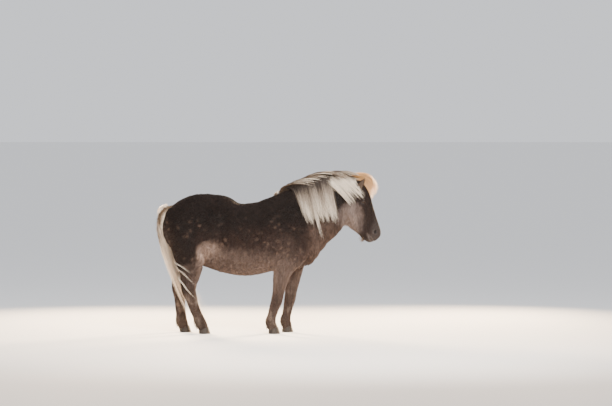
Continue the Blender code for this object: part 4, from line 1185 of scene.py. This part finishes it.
class Tree:
    # a Geometry Nodes tree and the one way in which its nodes are made
    def __init__(self, name, inputs):
        self.tree = bpy.data.node_groups.new(name, "GeometryNodeTree")
        face = self.tree.interface
        face.new_socket("Geometry", in_out="INPUT", socket_type="NodeSocketGeometry")
        face.new_socket("Geometry", in_out="OUTPUT", socket_type="NodeSocketGeometry")
        self.ids = {}
        for label, kind, default in inputs:
            socket = face.new_socket(label, in_out="INPUT", socket_type=kind)
            if default is not None:
                socket.default_value = default
            self.ids[label] = socket.identifier
        self.given = self.tree.nodes.new("NodeGroupInput")
        self.result = self.tree.nodes.new("NodeGroupOutput")

    def add(self, kind, settings=None, **sockets):
        return madeNode(self.tree, kind, settings, sockets)

    def attribute(self, name, kind="FLOAT"):
        return self.add("GeometryNodeInputNamedAttribute", {"data_type": kind}, Name=name).outputs["Attribute"]

    def times(self, first, second):
        return self.add("ShaderNodeMath", {"operation": "MULTIPLY"}, i0=first, i1=second).outputs[0]

    def random(self, low, high, seed):
        return self.add("FunctionNodeRandomValue", {"data_type": "FLOAT"}, Seed=seed, i2=low, i3=high).outputs[1]

    def vectors(self, operation, first, **second):
        return self.add("ShaderNodeVectorMath", {"operation": operation}, i0=first, **second).outputs[0]

    def close(self, geometry, spot):
        # the place on the map, the material and the way out are the same in every tree
        mapped = self.add(
            "GeometryNodeStoreNamedAttribute", {"data_type": "FLOAT2", "domain": "CORNER"},
            Geometry=geometry.outputs[0], Name="OFBake", Value=spot,
        )
        material = self.given.outputs["Material"]
        painted = self.add("GeometryNodeSetMaterial", Geometry=mapped.outputs[0], Material=material)
        self.tree.links.new(painted.outputs[0], self.result.inputs[0])

    def grow(self, obj, **values):
        # sets the tree's inputs, runs it, and leaves a plain mesh
        modifier = obj.modifiers.new("grow", "NODES")
        modifier.node_group = self.tree
        for label, value in values.items():
            modifier[self.ids[label]] = value
        return settled(obj)


def furTree():
    tree = Tree("furOverSkin", (
        ("Tufts", "NodeSocketCollection", None),
        ("Region", "NodeSocketInt", 0),
        ("Share", "NodeSocketFloat", 1.0),
        ("Seed", "NodeSocketInt", fur["seed"]),
        ("Patch", "NodeSocketFloat", fur["patch"]),
        ("Material", "NodeSocketMaterial", None),
    ))
    given = tree.given.outputs
    mine = tree.add(
        "FunctionNodeCompare", {"data_type": "INT", "operation": "EQUAL"},
        i2=tree.attribute("region", "INT"), i3=given["Region"],
    )
    scatter = tree.add(
        "GeometryNodeDistributePointsOnFaces", {"distribute_method": "RANDOM"},
        Mesh=given["Geometry"], Selection=mine.outputs[0],
        Density=tree.times(tree.attribute("furDensity"), given["Share"]), Seed=given["Seed"],
    )
    facing = tree.add(
        "FunctionNodeAxesToRotation", {"primary_axis": "Z", "secondary_axis": "X"},
        Primary_Axis=scatter.outputs["Normal"], Secondary_Axis=tree.attribute("furLie", "FLOAT_VECTOR"),
    )
    sway = tree.add(
        "ShaderNodeCombineXYZ",
        X=tree.random(-0.25, 0.25, 1), Y=tree.random(-0.08, 0.1, 2), Z=tree.random(-0.28, 0.28, 3),
    )
    turned = tree.add(
        "FunctionNodeRotateRotation", {"rotation_space": "LOCAL"},
        Rotation=facing.outputs[0], Rotate_By=tree.add("FunctionNodeEulerToRotation", Euler=sway.outputs[0]).outputs[0],
    )
    scale = tree.add(
        "ShaderNodeCombineXYZ",
        X=tree.times(tree.attribute("furLength"), tree.random(0.72, 1.22, 4)),
        Y=tree.times(tree.attribute("furWidth"), tree.random(0.75, 1.25, 5)),
        Z=tree.times(tree.attribute("furLift"), tree.random(0.72, 1.12, 6)),
    )
    choice = tree.add(
        "GeometryNodeCollectionInfo", Collection=given["Tufts"], Separate_Children=True, Reset_Children=True
    )
    placed = tree.add(
        "GeometryNodeInstanceOnPoints",
        Points=scatter.outputs["Points"], Instance=choice.outputs[0], Pick_Instance=True,
        Rotation=turned.outputs[0], Scale=scale.outputs[0],
    )
    toned = tree.add(
        "GeometryNodeStoreNamedAttribute", {"data_type": "FLOAT", "domain": "INSTANCE"},
        Geometry=placed.outputs[0], Name="tone", Value=tree.random(0.0, 1.0, 9),
    )
    real = tree.add("GeometryNodeRealizeInstances", Geometry=toned.outputs[0])
    local = tree.vectors("SUBTRACT", tree.attribute("tuftSpot", "FLOAT_VECTOR"), i1=(0.5, 0.5, 0.0))
    small = tree.vectors("SCALE", local, Scale=given["Patch"])
    tree.close(real, tree.vectors("ADD", tree.attribute("rootSpot", "FLOAT_VECTOR"), i1=small))
    return tree


def growFur(body, material):
    tufts = tuftSet("tuft", 6, ((0.00, -0.3, 0.7), (0.45, 0.78, 1.00)), (0.6, 1.15))
    shortTufts = tuftSet("shortTuft", 4, ((0.00, -0.25, 1.00),), (0.75, 1.1))
    # the map's place of each root travels with the points as a plain vector
    flat = readOut(body.data.uv_layers["OFBake"].data, "uv", 2)
    ground = body.data.copy()
    store(ground, "rootSpot", np.pad(flat, ((0, 0), (0, 1))), "FLOAT_VECTOR", "CORNER")
    ground.uv_layers.remove(ground.uv_layers["OFBake"])
    ground.use_fake_user = True
    tree = furTree()
    made = []
    for index, (name, *_) in enumerate(regions):
        piece = tree.grow(
            linked("fur" + name[0].upper() + name[1:], ground), Tufts=shortTufts if name == "head" else tufts,
            Region=index, Share=1.0, Seed=fur["seed"] + index,
            Patch=fur["patch"], Material=material,
        )
        dropExtras(piece.data, "furLie", *furValues, "rootSpot", "tuftSpot", "region", "bare", "UVMap")
        report(piece.name, len(piece.data.polygons), "faces")
        made.append(piece)
    for home in (tufts, shortTufts):
        for obj in list(home.objects):
            bpy.data.objects.remove(obj)
        bpy.data.collections.remove(home)
    bpy.data.meshes.remove(ground)
    report("fur in all", sum(len(piece.data.polygons) for piece in made), "faces")
    return made


hair = {
    "seed": 5,
    "steps": 10,
    "width": 0.0038,
    "sides": 3,
    "footClearance": 0.02,
}
# headings: metres along the hair, degrees up from +X seen from the right; leans: metres along, share sideways
turns = {
    "curtain": ((0.0, 62), (0.05, 14), (0.1, -20)),
    "cheek": ((0.0, 46), (0.04, -2), (0.08, -26), (0.16, -42), (0.46, -52)),
    "slope": ((0.0, 78), (0.05, 44), (0.1, 18), (0.2, 2), (0.34, -14)),
    "level": ((0.0, 64), (0.04, 36), (0.08, 14), (0.16, 2), (0.24, -12), (0.36, -40)),
    "withers": ((0.0, 80), (0.03, 56), (0.07, 16)),
    "dock": ((0.0, 112), (0.018, 140), (0.036, 192), (0.055, 238), (0.075, 262), (0.2, 270)),
    "forelock": (
        (0.0, 52), (0.055, 30), (0.1, -14), (0.152, -37), (0.21, -54), (0.26, -76), (0.305, -106), (0.36, -128),
    ),
    "fringe": ((0.0, 22), (0.04, -14), (0.08, -44), (0.13, -66), (0.2, -76), (0.42, -94)),
    "under": ((0.0, 40), (0.04, 10), (0.1, -14), (0.28, -38)),
    "tail": (
        (0.0, 200), (0.05, 223), (0.1, 248), (0.2, 270), (0.3, 283), (0.45, 289), (0.85, 293), (1.0, 296),
    ),
}
leans = {
    "side": ((0.0, 0.3), (0.05, 0.6), (0.12, 0.45), (0.22, 0.12)),
    "top": ((0.0, 0.2), (0.05, 0.42), (0.12, 0.4), (0.25, 0.14)),
}
# piece, turn, lean, first and last root along X, clumps, strands in each, length and fall of the first and of
# the last, clearance, side, tone
maneRows = (
    ("curtain", "curtain", "side", 0.16, 0.48, 32, 42, 0.55, 71, 0.62, 76, 0.012, -1, 0.52),
    ("curtain", "curtain", "side", 0.185, 0.46, 13, 34, 0.47, 73, 0.59, 77, 0.024, -1, 0.6),
    ("curtain", "curtain", "side", 0.286, 0.294, 1, 20, 0.83, 75, 0.83, 75, 0.03, -1, 0.75),
    ("cheek", "cheek", "side", 0.45, 0.7, 14, 40, 0.54, None, 0.4, None, 0.012, -1, 0.5),
    ("cheek", "cheek", "side", 0.6, 0.78, 8, 32, 0.33, None, 0.2, None, 0.018, -1, 0.48),
    ("crest", "slope", "top", 0.13, 0.42, 18, 38, 0.36, None, 0.35, None, 0.026, -1, 0.4),
    ("crest", "level", "top", 0.42, 0.78, 17, 38, 0.4, None, 0.22, None, 0.022, -1, 0.4),
    ("crest", "under", "side", 0.48, 0.8, 8, 30, 0.28, None, 0.2, None, 0.008, -1, 0.42),
    ("crest", "curtain", "side", 0.12, 0.8, 28, 17, 0.2, 62, 0.26, 50, 0.014, 1, 0.45),
    ("crest", "withers", "side", 0.066, 0.086, 2, 14, 0.07, None, 0.07, None, 0.014, -1, 0.6),
)
earGap = {"low": 0.915, "high": 0.99, "over": 1.432}  # the mane leaves the ear free here
dock = filled(
    (-0.93, 0, 1.265, 0.03, 0.03, 0.03),
    (-0.995, 0, 1.262, 0.036, 0.036, 0.038),
    (-1.042, 0, 1.23, 0.036, 0.036, 0.038),
    (-1.072, 0, 1.16, 0.032, 0.032, 0.034),
    (-1.084, 0, 1.075, 0.024, 0.024, 0.026),
    (-1.078, 0, 1.000, 0.01, 0.01, 0.012),
)


def clearOf(point, tree, lift):
    hit, normal, _, _ = tree.find_nearest(point)
    gap = (point - hit).dot(normal)
    return hit + normal * lift if gap < lift else point


def guide(root, turn, fall, length, steps, lean, lift, tree, aim=0.0):
    # a path along the headings of turn and then fall, leaning sideways, clear of the skin
    runs, angles = [t[0] for t in turn], [t[1] for t in turn]
    if fall is not None:
        runs, angles = runs + [runs[-1] + 0.06], angles + [-fall]
    points = []
    point = Vector(root)
    for i in range(steps + 1):
        run = length * i / steps
        if i > 0:
            point = clearOf(point, tree, lift)
        points.append(point.copy())
        angle = math.radians(float(np.interp(run, runs, angles)) + aim)
        sideways = lean(run)
        level = math.sqrt(1 - sideways**2)
        heading = Vector((math.cos(angle) * level, sideways, math.sin(angle) * level))
        point = point + heading * (length / steps)
    return points


def eased(run, curve):
    return float(np.interp(run, [row[0] for row in curve], [row[1] for row in curve]))


def clump(path, count, spread, gather, draw, tree, lift, width, tone):
    # strands that share a path, wide apart at the root and drawn together at the tip
    strands = []
    steps = len(path) - 1
    shade = tone + draw.gauss(0, 0.1)
    for _ in range(count):
        u, v = draw.gauss(0, 0.55), draw.gauss(0, 0.55)
        reach = draw.triangular(0.6, 1.03, 0.98)
        phase, curl = draw.uniform(0, math.tau), draw.uniform(0.002, 0.009)
        waves = draw.uniform(4.0, 8.0)
        rise = lift + draw.uniform(0.0, 0.018)
        points = []
        for i in range(steps + 1):
            share = i / steps
            at = min(share * reach, 1.0) * steps
            low = min(int(at), steps - 1)
            base = path[low].lerp(path[low + 1], at - low)
            if reach > 1 and share == 1.0:
                base = base + (path[steps] - path[steps - 1]) * (reach - 1) * steps * 0.5
            across = spread * (1 - gather * share)
            wave = curl * math.sin(phase + share * waves) * min(1, share * 3)
            point = base + Vector((u * across.x + wave, v * across.y + wave * 0.7, (u + v) * 0.5 * across.z))
            if i > 0:
                point = clearOf(point, tree, rise * min(1, 0.4 + share * 3))
            point.z = max(point.z, hair["footClearance"])
            points.append(point)
        strands.append((points, width * draw.uniform(0.7, 1.25), min(max(shade + draw.gauss(0, 0.17), 0), 1)))
    return strands


def overEar(point):
    return point.y < 0 and earGap["low"] < point.x < earGap["high"] and point.z > earGap["over"]


def maneStrands(tree, draw):
    strands = {"curtain": [], "cheek": [], "crest": []}
    for piece, turn, lean, first, last, clumps, count, lengthA, fallA, lengthB, fallB, lift, side, tone in maneRows:
        spread = Vector((0.028, 0.02, 0.014)) * (0.4 if turn == "withers" else 1.5 if side > 0 else 1.0)
        gather = 0.5 if turn == "curtain" else 0.72
        for k in range(clumps):
            share = k / max(clumps - 1, 1)
            x = first + (last - first) * share + draw.uniform(-0.008, 0.008)
            top, _, _, _ = tree.ray_cast(Vector((x, 0, 3)), Vector((0, 0, -1)))
            root = top + Vector((0, side * 0.004, 0.01))
            length = (lengthA + (lengthB - lengthA) * share) * draw.uniform(0.92, 1.08)
            fall = fallA and fallA + (fallB - fallA) * share + draw.uniform(-3, 3)
            shorter = 1 if fall else min(1, length / turns[turn][-1][0])
            path = guide(
                root, [(run * shorter, angle) for run, angle in turns[turn]], fall, length, hair["steps"],
                lambda run: side * eased(run, leans[lean]), lift + 0.008, tree, draw.uniform(-3, 3),
            )
            strands[piece] += clump(path, count, spread, gather, draw, tree, lift, hair["width"], tone)
    for piece, found in strands.items():
        strands[piece] = [s for s in found if not any(overEar(p) for p in s[0])]
    return strands


def spaced(k, step, clumps):
    # shares from 0 to 1 in a scattered order
    return ((k * step) % clumps) / (clumps - 1)


def forelockStrands(tree, draw):
    strands = []
    clumps = 30
    lean = ((0.0, 4.0), (0.08, 2.5), (0.15, -0.5), (0.25, -4.5), (0.4, -8.0))
    for k in range(clumps):
        across = -0.042 + 0.084 * ((k * 7) % clumps) / (clumps - 1)
        share = spaced(k, 11, clumps)  # 0 outermost, 1 close to the forehead
        x, z = 0.856 + draw.uniform(-0.036, 0.03), 1.555 - abs(across) * 0.4 + draw.uniform(-0.02, 0.01)
        mixed = [
            (run, eased(run, turns["forelock"]) * (1 - share) + eased(run, turns["fringe"]) * share)
            for run in np.linspace(0, 0.42, 15)
        ]
        path = guide(
            Vector((x, across, z)), mixed, None, draw.uniform(0.34, 0.375) - 0.05 * share, hair["steps"],
            lambda run: across * eased(run, lean), 0.006 + 0.006 * (1 - share), tree, draw.uniform(-4, 2),
        )
        strands += clump(path, 34, Vector((0.022, 0.024, 0.018)), 0.75, draw, tree, 0.006, hair["width"] * 0.85, 0.6)
    return [s for s in strands if not any(overEar(p) and p.y < -0.05 for p in s[0])]


def tailStrands(tree, draw):
    strands = []
    path = resample(dock, 0.01)
    clumps = 38
    for k in range(clumps):
        start = 0.06 + 0.86 * ((k * 13) % clumps) / (clumps - 1)
        row = path[int(start * (len(path) - 1))]
        turn = math.tau * k * 0.382
        root = Vector((row[0], math.cos(turn) * 0.02, row[2] + math.sin(turn) * 0.01))
        done = start * 0.3
        length = (0.55 + 0.68 * ((k * 7) % clumps) / (clumps - 1)) * draw.uniform(0.95, 1.05) - done * 0.4
        aim = -2 + 11 * ((k * 21) % clumps) / (clumps - 1)
        headings = [(max(0.0, run - done), angle) for run, angle in turns["tail"] if run >= done - 0.06]
        sway = draw.uniform(-0.06, 0.06) + math.cos(turn) * 0.03
        way = guide(root, headings, None, length, 12, lambda run: -0.05 + sway * math.cos(run * 3.0), 0.008, tree, aim)
        strands += clump(way, 36, Vector((0.022, 0.026, 0.012)), 0.35, draw, tree, 0.008, hair["width"], 0.55)
    return strands


# single locks that the wind blows from the tail over the near hind leg
strays = (
    ((-0.985, -0.03, 0.82), (-0.92, -0.13, 0.69), (-0.8, -0.26, 0.57), (-0.69, -0.28, 0.47)),
    ((-0.94, -0.04, 0.8), (-0.87, -0.2, 0.69), (-0.76, -0.27, 0.6)),
    ((-0.9, -0.06, 0.62), (-0.845, -0.2, 0.5), (-0.78, -0.25, 0.42), (-0.71, -0.26, 0.35)),
)


def dockStrands(tree, draw):
    strands = []
    for k in range(5):
        root = Vector((-1.004 - 0.009 * k, draw.uniform(-0.018, 0.018), 1.262 - 0.008 * k))
        way = guide(root, turns["dock"], None, 0.1 + 0.02 * k, 8, lambda run: -0.05, 0.008, tree, draw.uniform(-5, 5))
        strands += clump(way, 20, Vector((0.012, 0.02, 0.01)), 0.3, draw, tree, 0.008, hair["width"], 0.7)
    for row in strays:
        way = [Vector(p) for p in resample([(*p, 0) for p in row], 0.03)[:, :3]]
        strands += clump(way, 7, Vector((0.014, 0.01, 0.01)), 0.5, draw, tree, 0.014, hair["width"] * 0.7, 0.75)
    return strands


feathers = {"strands": 260, "low": 0.075, "high": 0.165, "length": (0.022, 0.058), "width": 0.0028}


def featherStrands(tree, draw):
    # the longer hair behind each fetlock
    strands = []
    for stations, side in legs.values():
        for _ in range(feathers["strands"]):
            turn = math.radians(180 + draw.gauss(0, 50))
            height = draw.uniform(feathers["low"], feathers["high"])
            x, y = (float(v) for v in legMiddle(stations, height))
            way = Vector((math.cos(turn), math.sin(turn), 0))
            hit, _, _, _ = tree.ray_cast(Vector((x, side * y, height)) + way * 0.2, -way)
            if hit is None:
                continue
            behind = max(0.0, -way.x)
            length = draw.uniform(*feathers["length"]) * (0.55 + 0.55 * behind)
            points = []
            for i in range(5):
                share = i / 4
                heading = (Vector((0, 0, -1)) + way * (0.1 + 0.16 * behind * share)).normalized()
                point = hit - way * 0.003 + heading * (length * share)
                point.z = max(point.z, 0.012)
                points.append(clearOf(point, tree, 0.004 + 0.004 * share) if i else point)
            strands.append((points, feathers["width"] * draw.uniform(0.7, 1.3), draw.uniform(0.1, 0.8)))
    return strands


faceHairs = {"lashes": 30, "chin": 90, "whiskers": 40}


def bristle(root, heading, length, sag=Vector()):
    return [root + heading * length * i / 4 + sag * (i / 4) ** 2 for i in range(5)]


def faceStrands(tree, eyes, draw):
    # eyelashes, the tuft under the chin and a few whiskers
    strands = []
    lashes = faceHairs["lashes"]
    for _, middle, facing in eyes:
        along, over = eyeWays(facing)
        up = over if over.z > 0 else -over
        for k in range(lashes):
            share = -1 + 2 * (k + draw.uniform(-0.4, 0.4)) / (lashes - 1)
            rise = 0.0125 * math.sqrt(max(0, 1 - share * share * 0.8))
            root = middle + facing * 0.0215 + along * (0.0185 * share) + up * rise
            heading = (facing * 0.9 + up * 0.1 + along * share * 0.4).normalized()
            strands.append((bristle(root, heading, draw.uniform(0.014, 0.021), up * -0.006), 0.0012, 0.1))
    down, out = headWays()
    for _ in range(faceHairs["chin"]):
        side = draw.gauss(0, 0.016)
        hit, _, _, _ = tree.find_nearest(headPoint(0.548 + draw.gauss(0, 0.016), -0.085, side))
        heading = (-out + down * 0.25 + Vector((0, side * 6, -0.3))).normalized()
        strands.append((bristle(hit, heading, draw.uniform(0.022, 0.044)), 0.0022, draw.uniform(0.3, 0.8)))
    for _ in range(faceHairs["whiskers"]):
        side = draw.choice((-1, 1))
        root = headPoint(draw.uniform(0.5, 0.61), draw.uniform(-0.055, 0.0), side * 0.05)
        hit, normal, _, _ = tree.find_nearest(root)
        heading = (normal * 0.8 + down * 0.5 + Vector((0, 0, -0.4))).normalized()
        strands.append((bristle(hit, heading, draw.uniform(0.02, 0.04), Vector((0, 0, -0.006))), 0.0009, 0.2))
    return strands


def lockTree():
    tree = Tree("locks", (("Sides", "NodeSocketInt", hair["sides"]), ("Material", "NodeSocketMaterial", None)))
    given = tree.given.outputs
    curves = tree.add("GeometryNodeMeshToCurve", Mesh=given["Geometry"])
    width = tree.attribute("hairWidth")
    sized = tree.add("GeometryNodeSetCurveRadius", Curve=curves.outputs[0], Radius=width)
    profile = tree.add("GeometryNodeCurvePrimitiveCircle", {"mode": "RADIUS"}, Resolution=given["Sides"], Radius=0.5)
    shaped = tree.add("GeometryNodeTransform", Geometry=profile.outputs[0], Scale=(1.0, 0.55, 1.0))
    solid = tree.add(
        "GeometryNodeCurveToMesh", Curve=sized.outputs[0], Profile_Curve=shaped.outputs[0], Fill_Caps=True
    )
    if "Scale" in solid.inputs:
        tree.tree.links.new(width, solid.inputs["Scale"])
    real = tree.add("GeometryNodeRealizeInstances", Geometry=solid.outputs[0])
    smooth = tree.add("GeometryNodeSetShadeSmooth", Geometry=real.outputs[0])
    tree.close(smooth, tree.attribute("hairSpot", "FLOAT_VECTOR"))
    return tree


def growLocks(name, strands, tree, material):
    # the strands as lines of points, which the tree turns into solid hair
    points, edges, widths, tones, alongs, spots = [], [], [], [], [], []
    across = math.ceil(math.sqrt(len(strands)))
    for index, (path, width, tone) in enumerate(strands):
        start = len(points)
        last = len(path) - 1
        row, column = divmod(index, across)
        for i, point in enumerate(path):
            share = i / last
            points.append(point)
            alongs.append(share)
            tones.append(tone)
            widths.append(width * min(1, 0.55 + share * 3) * max(0.1, 1 - share**2.6))
            spots.append(((column + 0.5) / across, (row + 0.1 + 0.8 * share) / across, 0.0))
        edges += [(start + i, start + i + 1) for i in range(last)]
    obj = meshObject(name, points, [], edges)
    for label, values in (("hairWidth", widths), ("tone", tones), ("along", alongs)):
        store(obj.data, label, values)
    store(obj.data, "hairSpot", spots, "FLOAT_VECTOR")
    piece = tree.grow(obj, Sides=hair["sides"], Material=material)
    dropExtras(piece.data, "hairWidth", "hairSpot")
    facedOutwards(piece.data)
    report(name, len(strands), "strands", len(piece.data.polygons), "faces")
    return piece


eye = {
    "irisColour": (0.02, 0.0085, 0.004),
    "irisStreaks": (0.04, 0.018, 0.008),
    "irisEdge": (0.006, 0.003, 0.002),
    "pupil": (0.002, 0.0025, 0.004),
    "white": (0.016, 0.01, 0.008),
    "cornea": 0.0016,  # how far the front of the eye stands out
}


def buildEye(name, middle, facing):
    along, over = eyeWays(facing)
    obj = sphere("eyeball" + name, 64, 48)
    mesh = obj.data
    local = pointsOf(mesh)
    front = np.clip((local[:, 2] - 0.7) / 0.3, 0, 1)
    radius = skin["eyeRadius"] + eye["cornea"] * front**0.7 * 0.5
    ways = np.array([along, over, facing])
    movePoints(mesh, np.array(middle) + (local * radius[:, None]) @ ways)
    store(mesh, "eyeSpot", local, "FLOAT_VECTOR")
    smoothShaded(mesh)
    facedOutwards(mesh)
    return obj


def eyeFinish():
    finish = Finish("wetEye", 0.1, Specular_IOR_Level=0.12, Coat_Weight=0.22, Coat_Roughness=0.03)
    spot = finish.attribute("eyeSpot", "Vector")
    x, y, _ = finish.parts(spot)
    far = (x * x + y * y) ** 0.5
    streaks = finish.noise(finish.stretched(spot, (9.0, 9.0, 1.0)), 3.0, 4.0)
    iris = finish.mix(streaks, eye["irisColour"], eye["irisStreaks"])
    iris = finish.mix(far.ramp(0.5, 0.7), iris, eye["irisEdge"])
    pupil = ((x / 0.4) ** 2 + (y / 0.22) ** 2).ramp(1.25, 0.85)
    colour = finish.mix(far.ramp(0.68, 0.76), iris, eye["white"])
    return finish.painted(Base_Color=finish.mix(pupil, colour, eye["pupil"]))


hoofs = {
    "coronet": 0.05,
    "slope": 0.4,
    "out": 0.127,
    "x": {"frontRight": 0.05, "frontLeft": 0.182, "hindRight": -0.645, "hindLeft": -0.845},
    # share of the height, half length, half width, shift to the toe
    "sections": (
        (0.00, 0.06, 0.058, 0.008), (0.03, 0.0622, 0.0602, 0.008), (0.12, 0.0625, 0.0605, 0.008),
        (0.55, 0.0575, 0.056, 0.003), (0.9, 0.0535, 0.052, -0.001), (0.95, 0.054, 0.0525, -0.002),
        (1.00, 0.05, 0.0485, -0.002),
    ),
    "rings": 6,
    "ringHeight": 0.0003,
    "dark": (0.02, 0.015, 0.012),
    "pale": (0.048, 0.036, 0.028),
    "ringColour": (0.08, 0.062, 0.046),
    "coronetColour": (0.05, 0.036, 0.028),
    "soleColour": (0.13, 0.105, 0.08),
}


def buildHoof(leg, seed):
    side = legs[leg][1]
    x, y = hoofs["x"][leg], side * hoofs["out"]
    around, levels = 72, 40
    angle = np.arange(around) * math.tau / around
    heel = np.where(np.cos(angle) < 0, 1 - 0.14 * smoothStep(0.0, 0.8, -np.cos(angle)), 1.0)
    # the cleft between the heels
    heel = heel * (1 - 0.1 * np.exp(-((np.abs(angle - math.pi) / 0.22) ** 2)))
    given = np.array(hoofs["sections"])
    rings, ups = [], []
    for level in np.linspace(0, 1, levels):
        long, wide, toe = (float(np.interp(level, given[:, 0], given[:, k])) for k in (1, 2, 3))
        ridge = hoofs["ringHeight"] * math.sin(level * math.tau * hoofs["rings"] + seed) * (0.05 < level < 0.9)
        ring = np.zeros((around, 3))
        ring[:, 0] = x + toe + (long + ridge) * np.cos(angle) * heel
        ring[:, 1] = y + (wide + ridge) * np.sin(angle)
        ring[:, 2] = (hoofs["coronet"] + hoofs["slope"] * (ring[:, 0] - x) - 0.0003) * level
        rings.append(ring)
        ups += [level] * around
    points = np.concatenate(rings + [rings[0].mean(0)[None], rings[-1].mean(0)[None]])
    obj = meshObject("hoof" + leg[0].upper() + leg[1:], points, tubeFaces(levels, around))
    store(obj.data, "hoofUp", np.array(ups + [0, 1], float))
    facedOutwards(obj.data)
    smoothShaded(obj.data)
    return obj


def hoofFinish():
    finish = Finish("horn", 0.6, Specular_IOR_Level=0.2)
    place = finish.place()
    up = finish.attribute("hoofUp")
    streak = finish.noise(finish.stretched(place, (60.0, 60.0, 5.0)), 2.2, 5.0)
    rings = finish.noise(finish.stretched(place, (3.0, 3.0, 55.0)), 2.0, 3.0)
    colour = finish.mix(streak.ramp(0.36, 0.66), hoofs["dark"], hoofs["pale"])
    colour = finish.mix(rings.ramp(0.45, 0.7) * 0.15, colour, hoofs["ringColour"])
    colour = finish.mix(up.ramp(0.86, 0.98) * 0.8, colour, hoofs["coronetColour"])
    colour = finish.mix(up.ramp(0.09, 0.0) * 0.5, colour, hoofs["soleColour"])
    rough = 0.5 + streak * 0.25
    return finish.painted(
        Base_Color=colour, Roughness=rough, Normal=finish.bump(streak * 0.7 + rings * 0.3, 0.25, 0.001)
    )


def skinFinish():
    finish = Finish("coatSkin", 0.75, Specular_IOR_Level=0.2)
    # painted shade: the skin under the fur is the coat colour darkened and streaked darker still, for the shade deep
    # between the tufts
    colour = finish.mix(0.72, (0.0, 0.0, 0.0), coatColour(finish))
    strands = finish.noise(finish.stretched(finish.place(), (60.0, 160.0, 190.0)), 1.0, 6.0, rough=0.7)
    colour = finish.mix(strands.ramp(0.35, 0.7) * 0.4, colour, coatColours["paintedShadeUnderFur"])
    # bare, moist skin at the eye, the nostril and the lips
    bare = finish.attribute("bare")
    colour = finish.mix(bare, colour, coatColours["bareSkin"])
    return finish.painted(
        Base_Color=colour, Roughness=0.85 - bare * 0.3, Normal=finish.bump(strands, 0.5, 0.003)
    )


def furFinish():
    finish = Finish("coatFur", 0.6, Specular_IOR_Level=0.22, Sheen_Weight=0.03, Sheen_Roughness=0.4)
    colour = coatColour(finish)
    tone = finish.attribute("tone")
    along = finish.attribute("along")
    shade = finish.mix(tone, finish.times(colour, (0.8, 0.79, 0.79)), finish.times(colour, (1.26, 1.23, 1.2)))
    # painted shade: each tuft is darker towards its root, where it lies deep in the coat
    shade = finish.mix(along.ramp(0.0, 0.55), finish.times(shade, (0.74, 0.72, 0.72)), shade)
    # painted glow: every tuft's tip is lightened towards a warm colour, as if lit from behind
    tip = finish.mix(0.12, shade, coatColours["paintedTipGlow"])
    return finish.painted(Base_Color=finish.mix(along.ramp(0.6, 1.0) * tone, shade, tip))


hairColours = {
    # the root colour is partly the hair's own dark roots and partly painted shade among the inner strands
    "root": (0.042, 0.03, 0.024),
    "middle": (0.36, 0.285, 0.222),
    "tip": (0.9, 0.8, 0.67),
    "warm": (0.7, 0.385, 0.13),
}


# material, share of the length where the dark root (partly painted shade) ends, warmth, how much the strands differ
hairFinishes = {
    "maneCurtain": ("curtainHair", 0.82, 0.0, 0.3),
    "maneCheek": ("cheekHair", 0.3, 0.0, 0.5),
    "maneCrest": ("crestHair", 0.74, 0.05, 1.2),
    "forelockHair": ("foreHair", 0.5, 0.8, 0.9),
    "tailHair": ("tailShine", 0.2, 0.1, 0.3),
    "fetlockHair": ("featherShine", 2.4, 0.05, 0.7),
    "faceHair": ("faceHairShine", 1.6, 0.12, 0.5),
}


def hairFinish(name, rootEnd, warmth, streak):
    finish = Finish(name, 0.45, Specular_IOR_Level=0.35)
    tone = finish.attribute("tone")
    start = finish.attribute("along") + (tone - 0.5) * streak
    # dark roots: partly the hair's own colour, partly painted shade among the inner strands
    colour = finish.mix(start.ramp(rootEnd * 0.45, rootEnd), hairColours["root"], hairColours["middle"])
    colour = finish.mix(start.ramp(rootEnd * 0.85, rootEnd * 1.3), colour, hairColours["tip"])
    colour = finish.mix(warmth, colour, hairColours["warm"])
    shade = finish.times(colour, (0.66, 0.6, 0.54))
    return finish.painted(Base_Color=finish.mix(tone.ramp(0.15, 0.7), shade, colour))


def keep(piece, slotName, *nodes):
    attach(piece, "root")
    if nodes:
        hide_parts(*nodes)


def nodeName(leg):
    # frontRight is front_right in the frame
    return leg.replace("Right", "_right").replace("Left", "_left")


def main():
    setStudio()
    body, eyes = buildSkin()
    unwrapSkin(body)
    dressSkin(body)
    tree = searchTree([body])
    furs = growFur(body, furFinish())
    draw = random.Random(hair["seed"])
    locks = lockTree()
    mane = maneStrands(tree, draw)
    strands = {
        "maneCurtain": mane["curtain"],
        "maneCheek": mane["cheek"],
        "maneCrest": mane["crest"],
        "forelockHair": forelockStrands(tree, draw),
        "tailHair": tailStrands(tree, draw) + dockStrands(tree, draw),
        "fetlockHair": featherStrands(tree, draw),
        "faceHair": faceStrands(tree, eyes, draw),
    }
    hairs = [growLocks(name, found, locks, hairFinish(*hairFinishes[name])) for name, found in strands.items()]
    horn, wet = hoofFinish(), eyeFinish()
    for seed, leg in enumerate(legs):
        hoof = buildHoof(leg, seed)
        hoof.data.materials.append(horn)
        keep(hoof, "hoof", "hoof_" + nodeName(leg))
    for name, middle, facing in eyes:
        ball = buildEye(name, middle, facing)
        ball.data.materials.append(wet)
        keep(ball, "eye", "eye_" + name.lower())
    limbs = [f"leg_{nodeName(leg)}_{part}" for leg in legs for part in ("upper", "lower")]
    keep(body, "coat", "torso", "neck", "head", "ear_right", "ear_left", *limbs)
    for piece in furs:
        keep(piece, "coat")
    replaced = {"maneCurtain": ["mane"], "forelockHair": ["forelock"], "tailHair": ["tail"]}
    for piece in hairs:
        keep(piece, "hair", *replaced.get(piece.name, []))
    dropExtras(body.data, "furLie", *furValues, "region", "UVMap")
    low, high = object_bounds()
    past = [[round(1000 * (a - b)) for a, b in zip(ours, solids)] for ours, solids in ((low, cadLow), (high, cadHigh))]
    report("size over the solids", *past)


main()
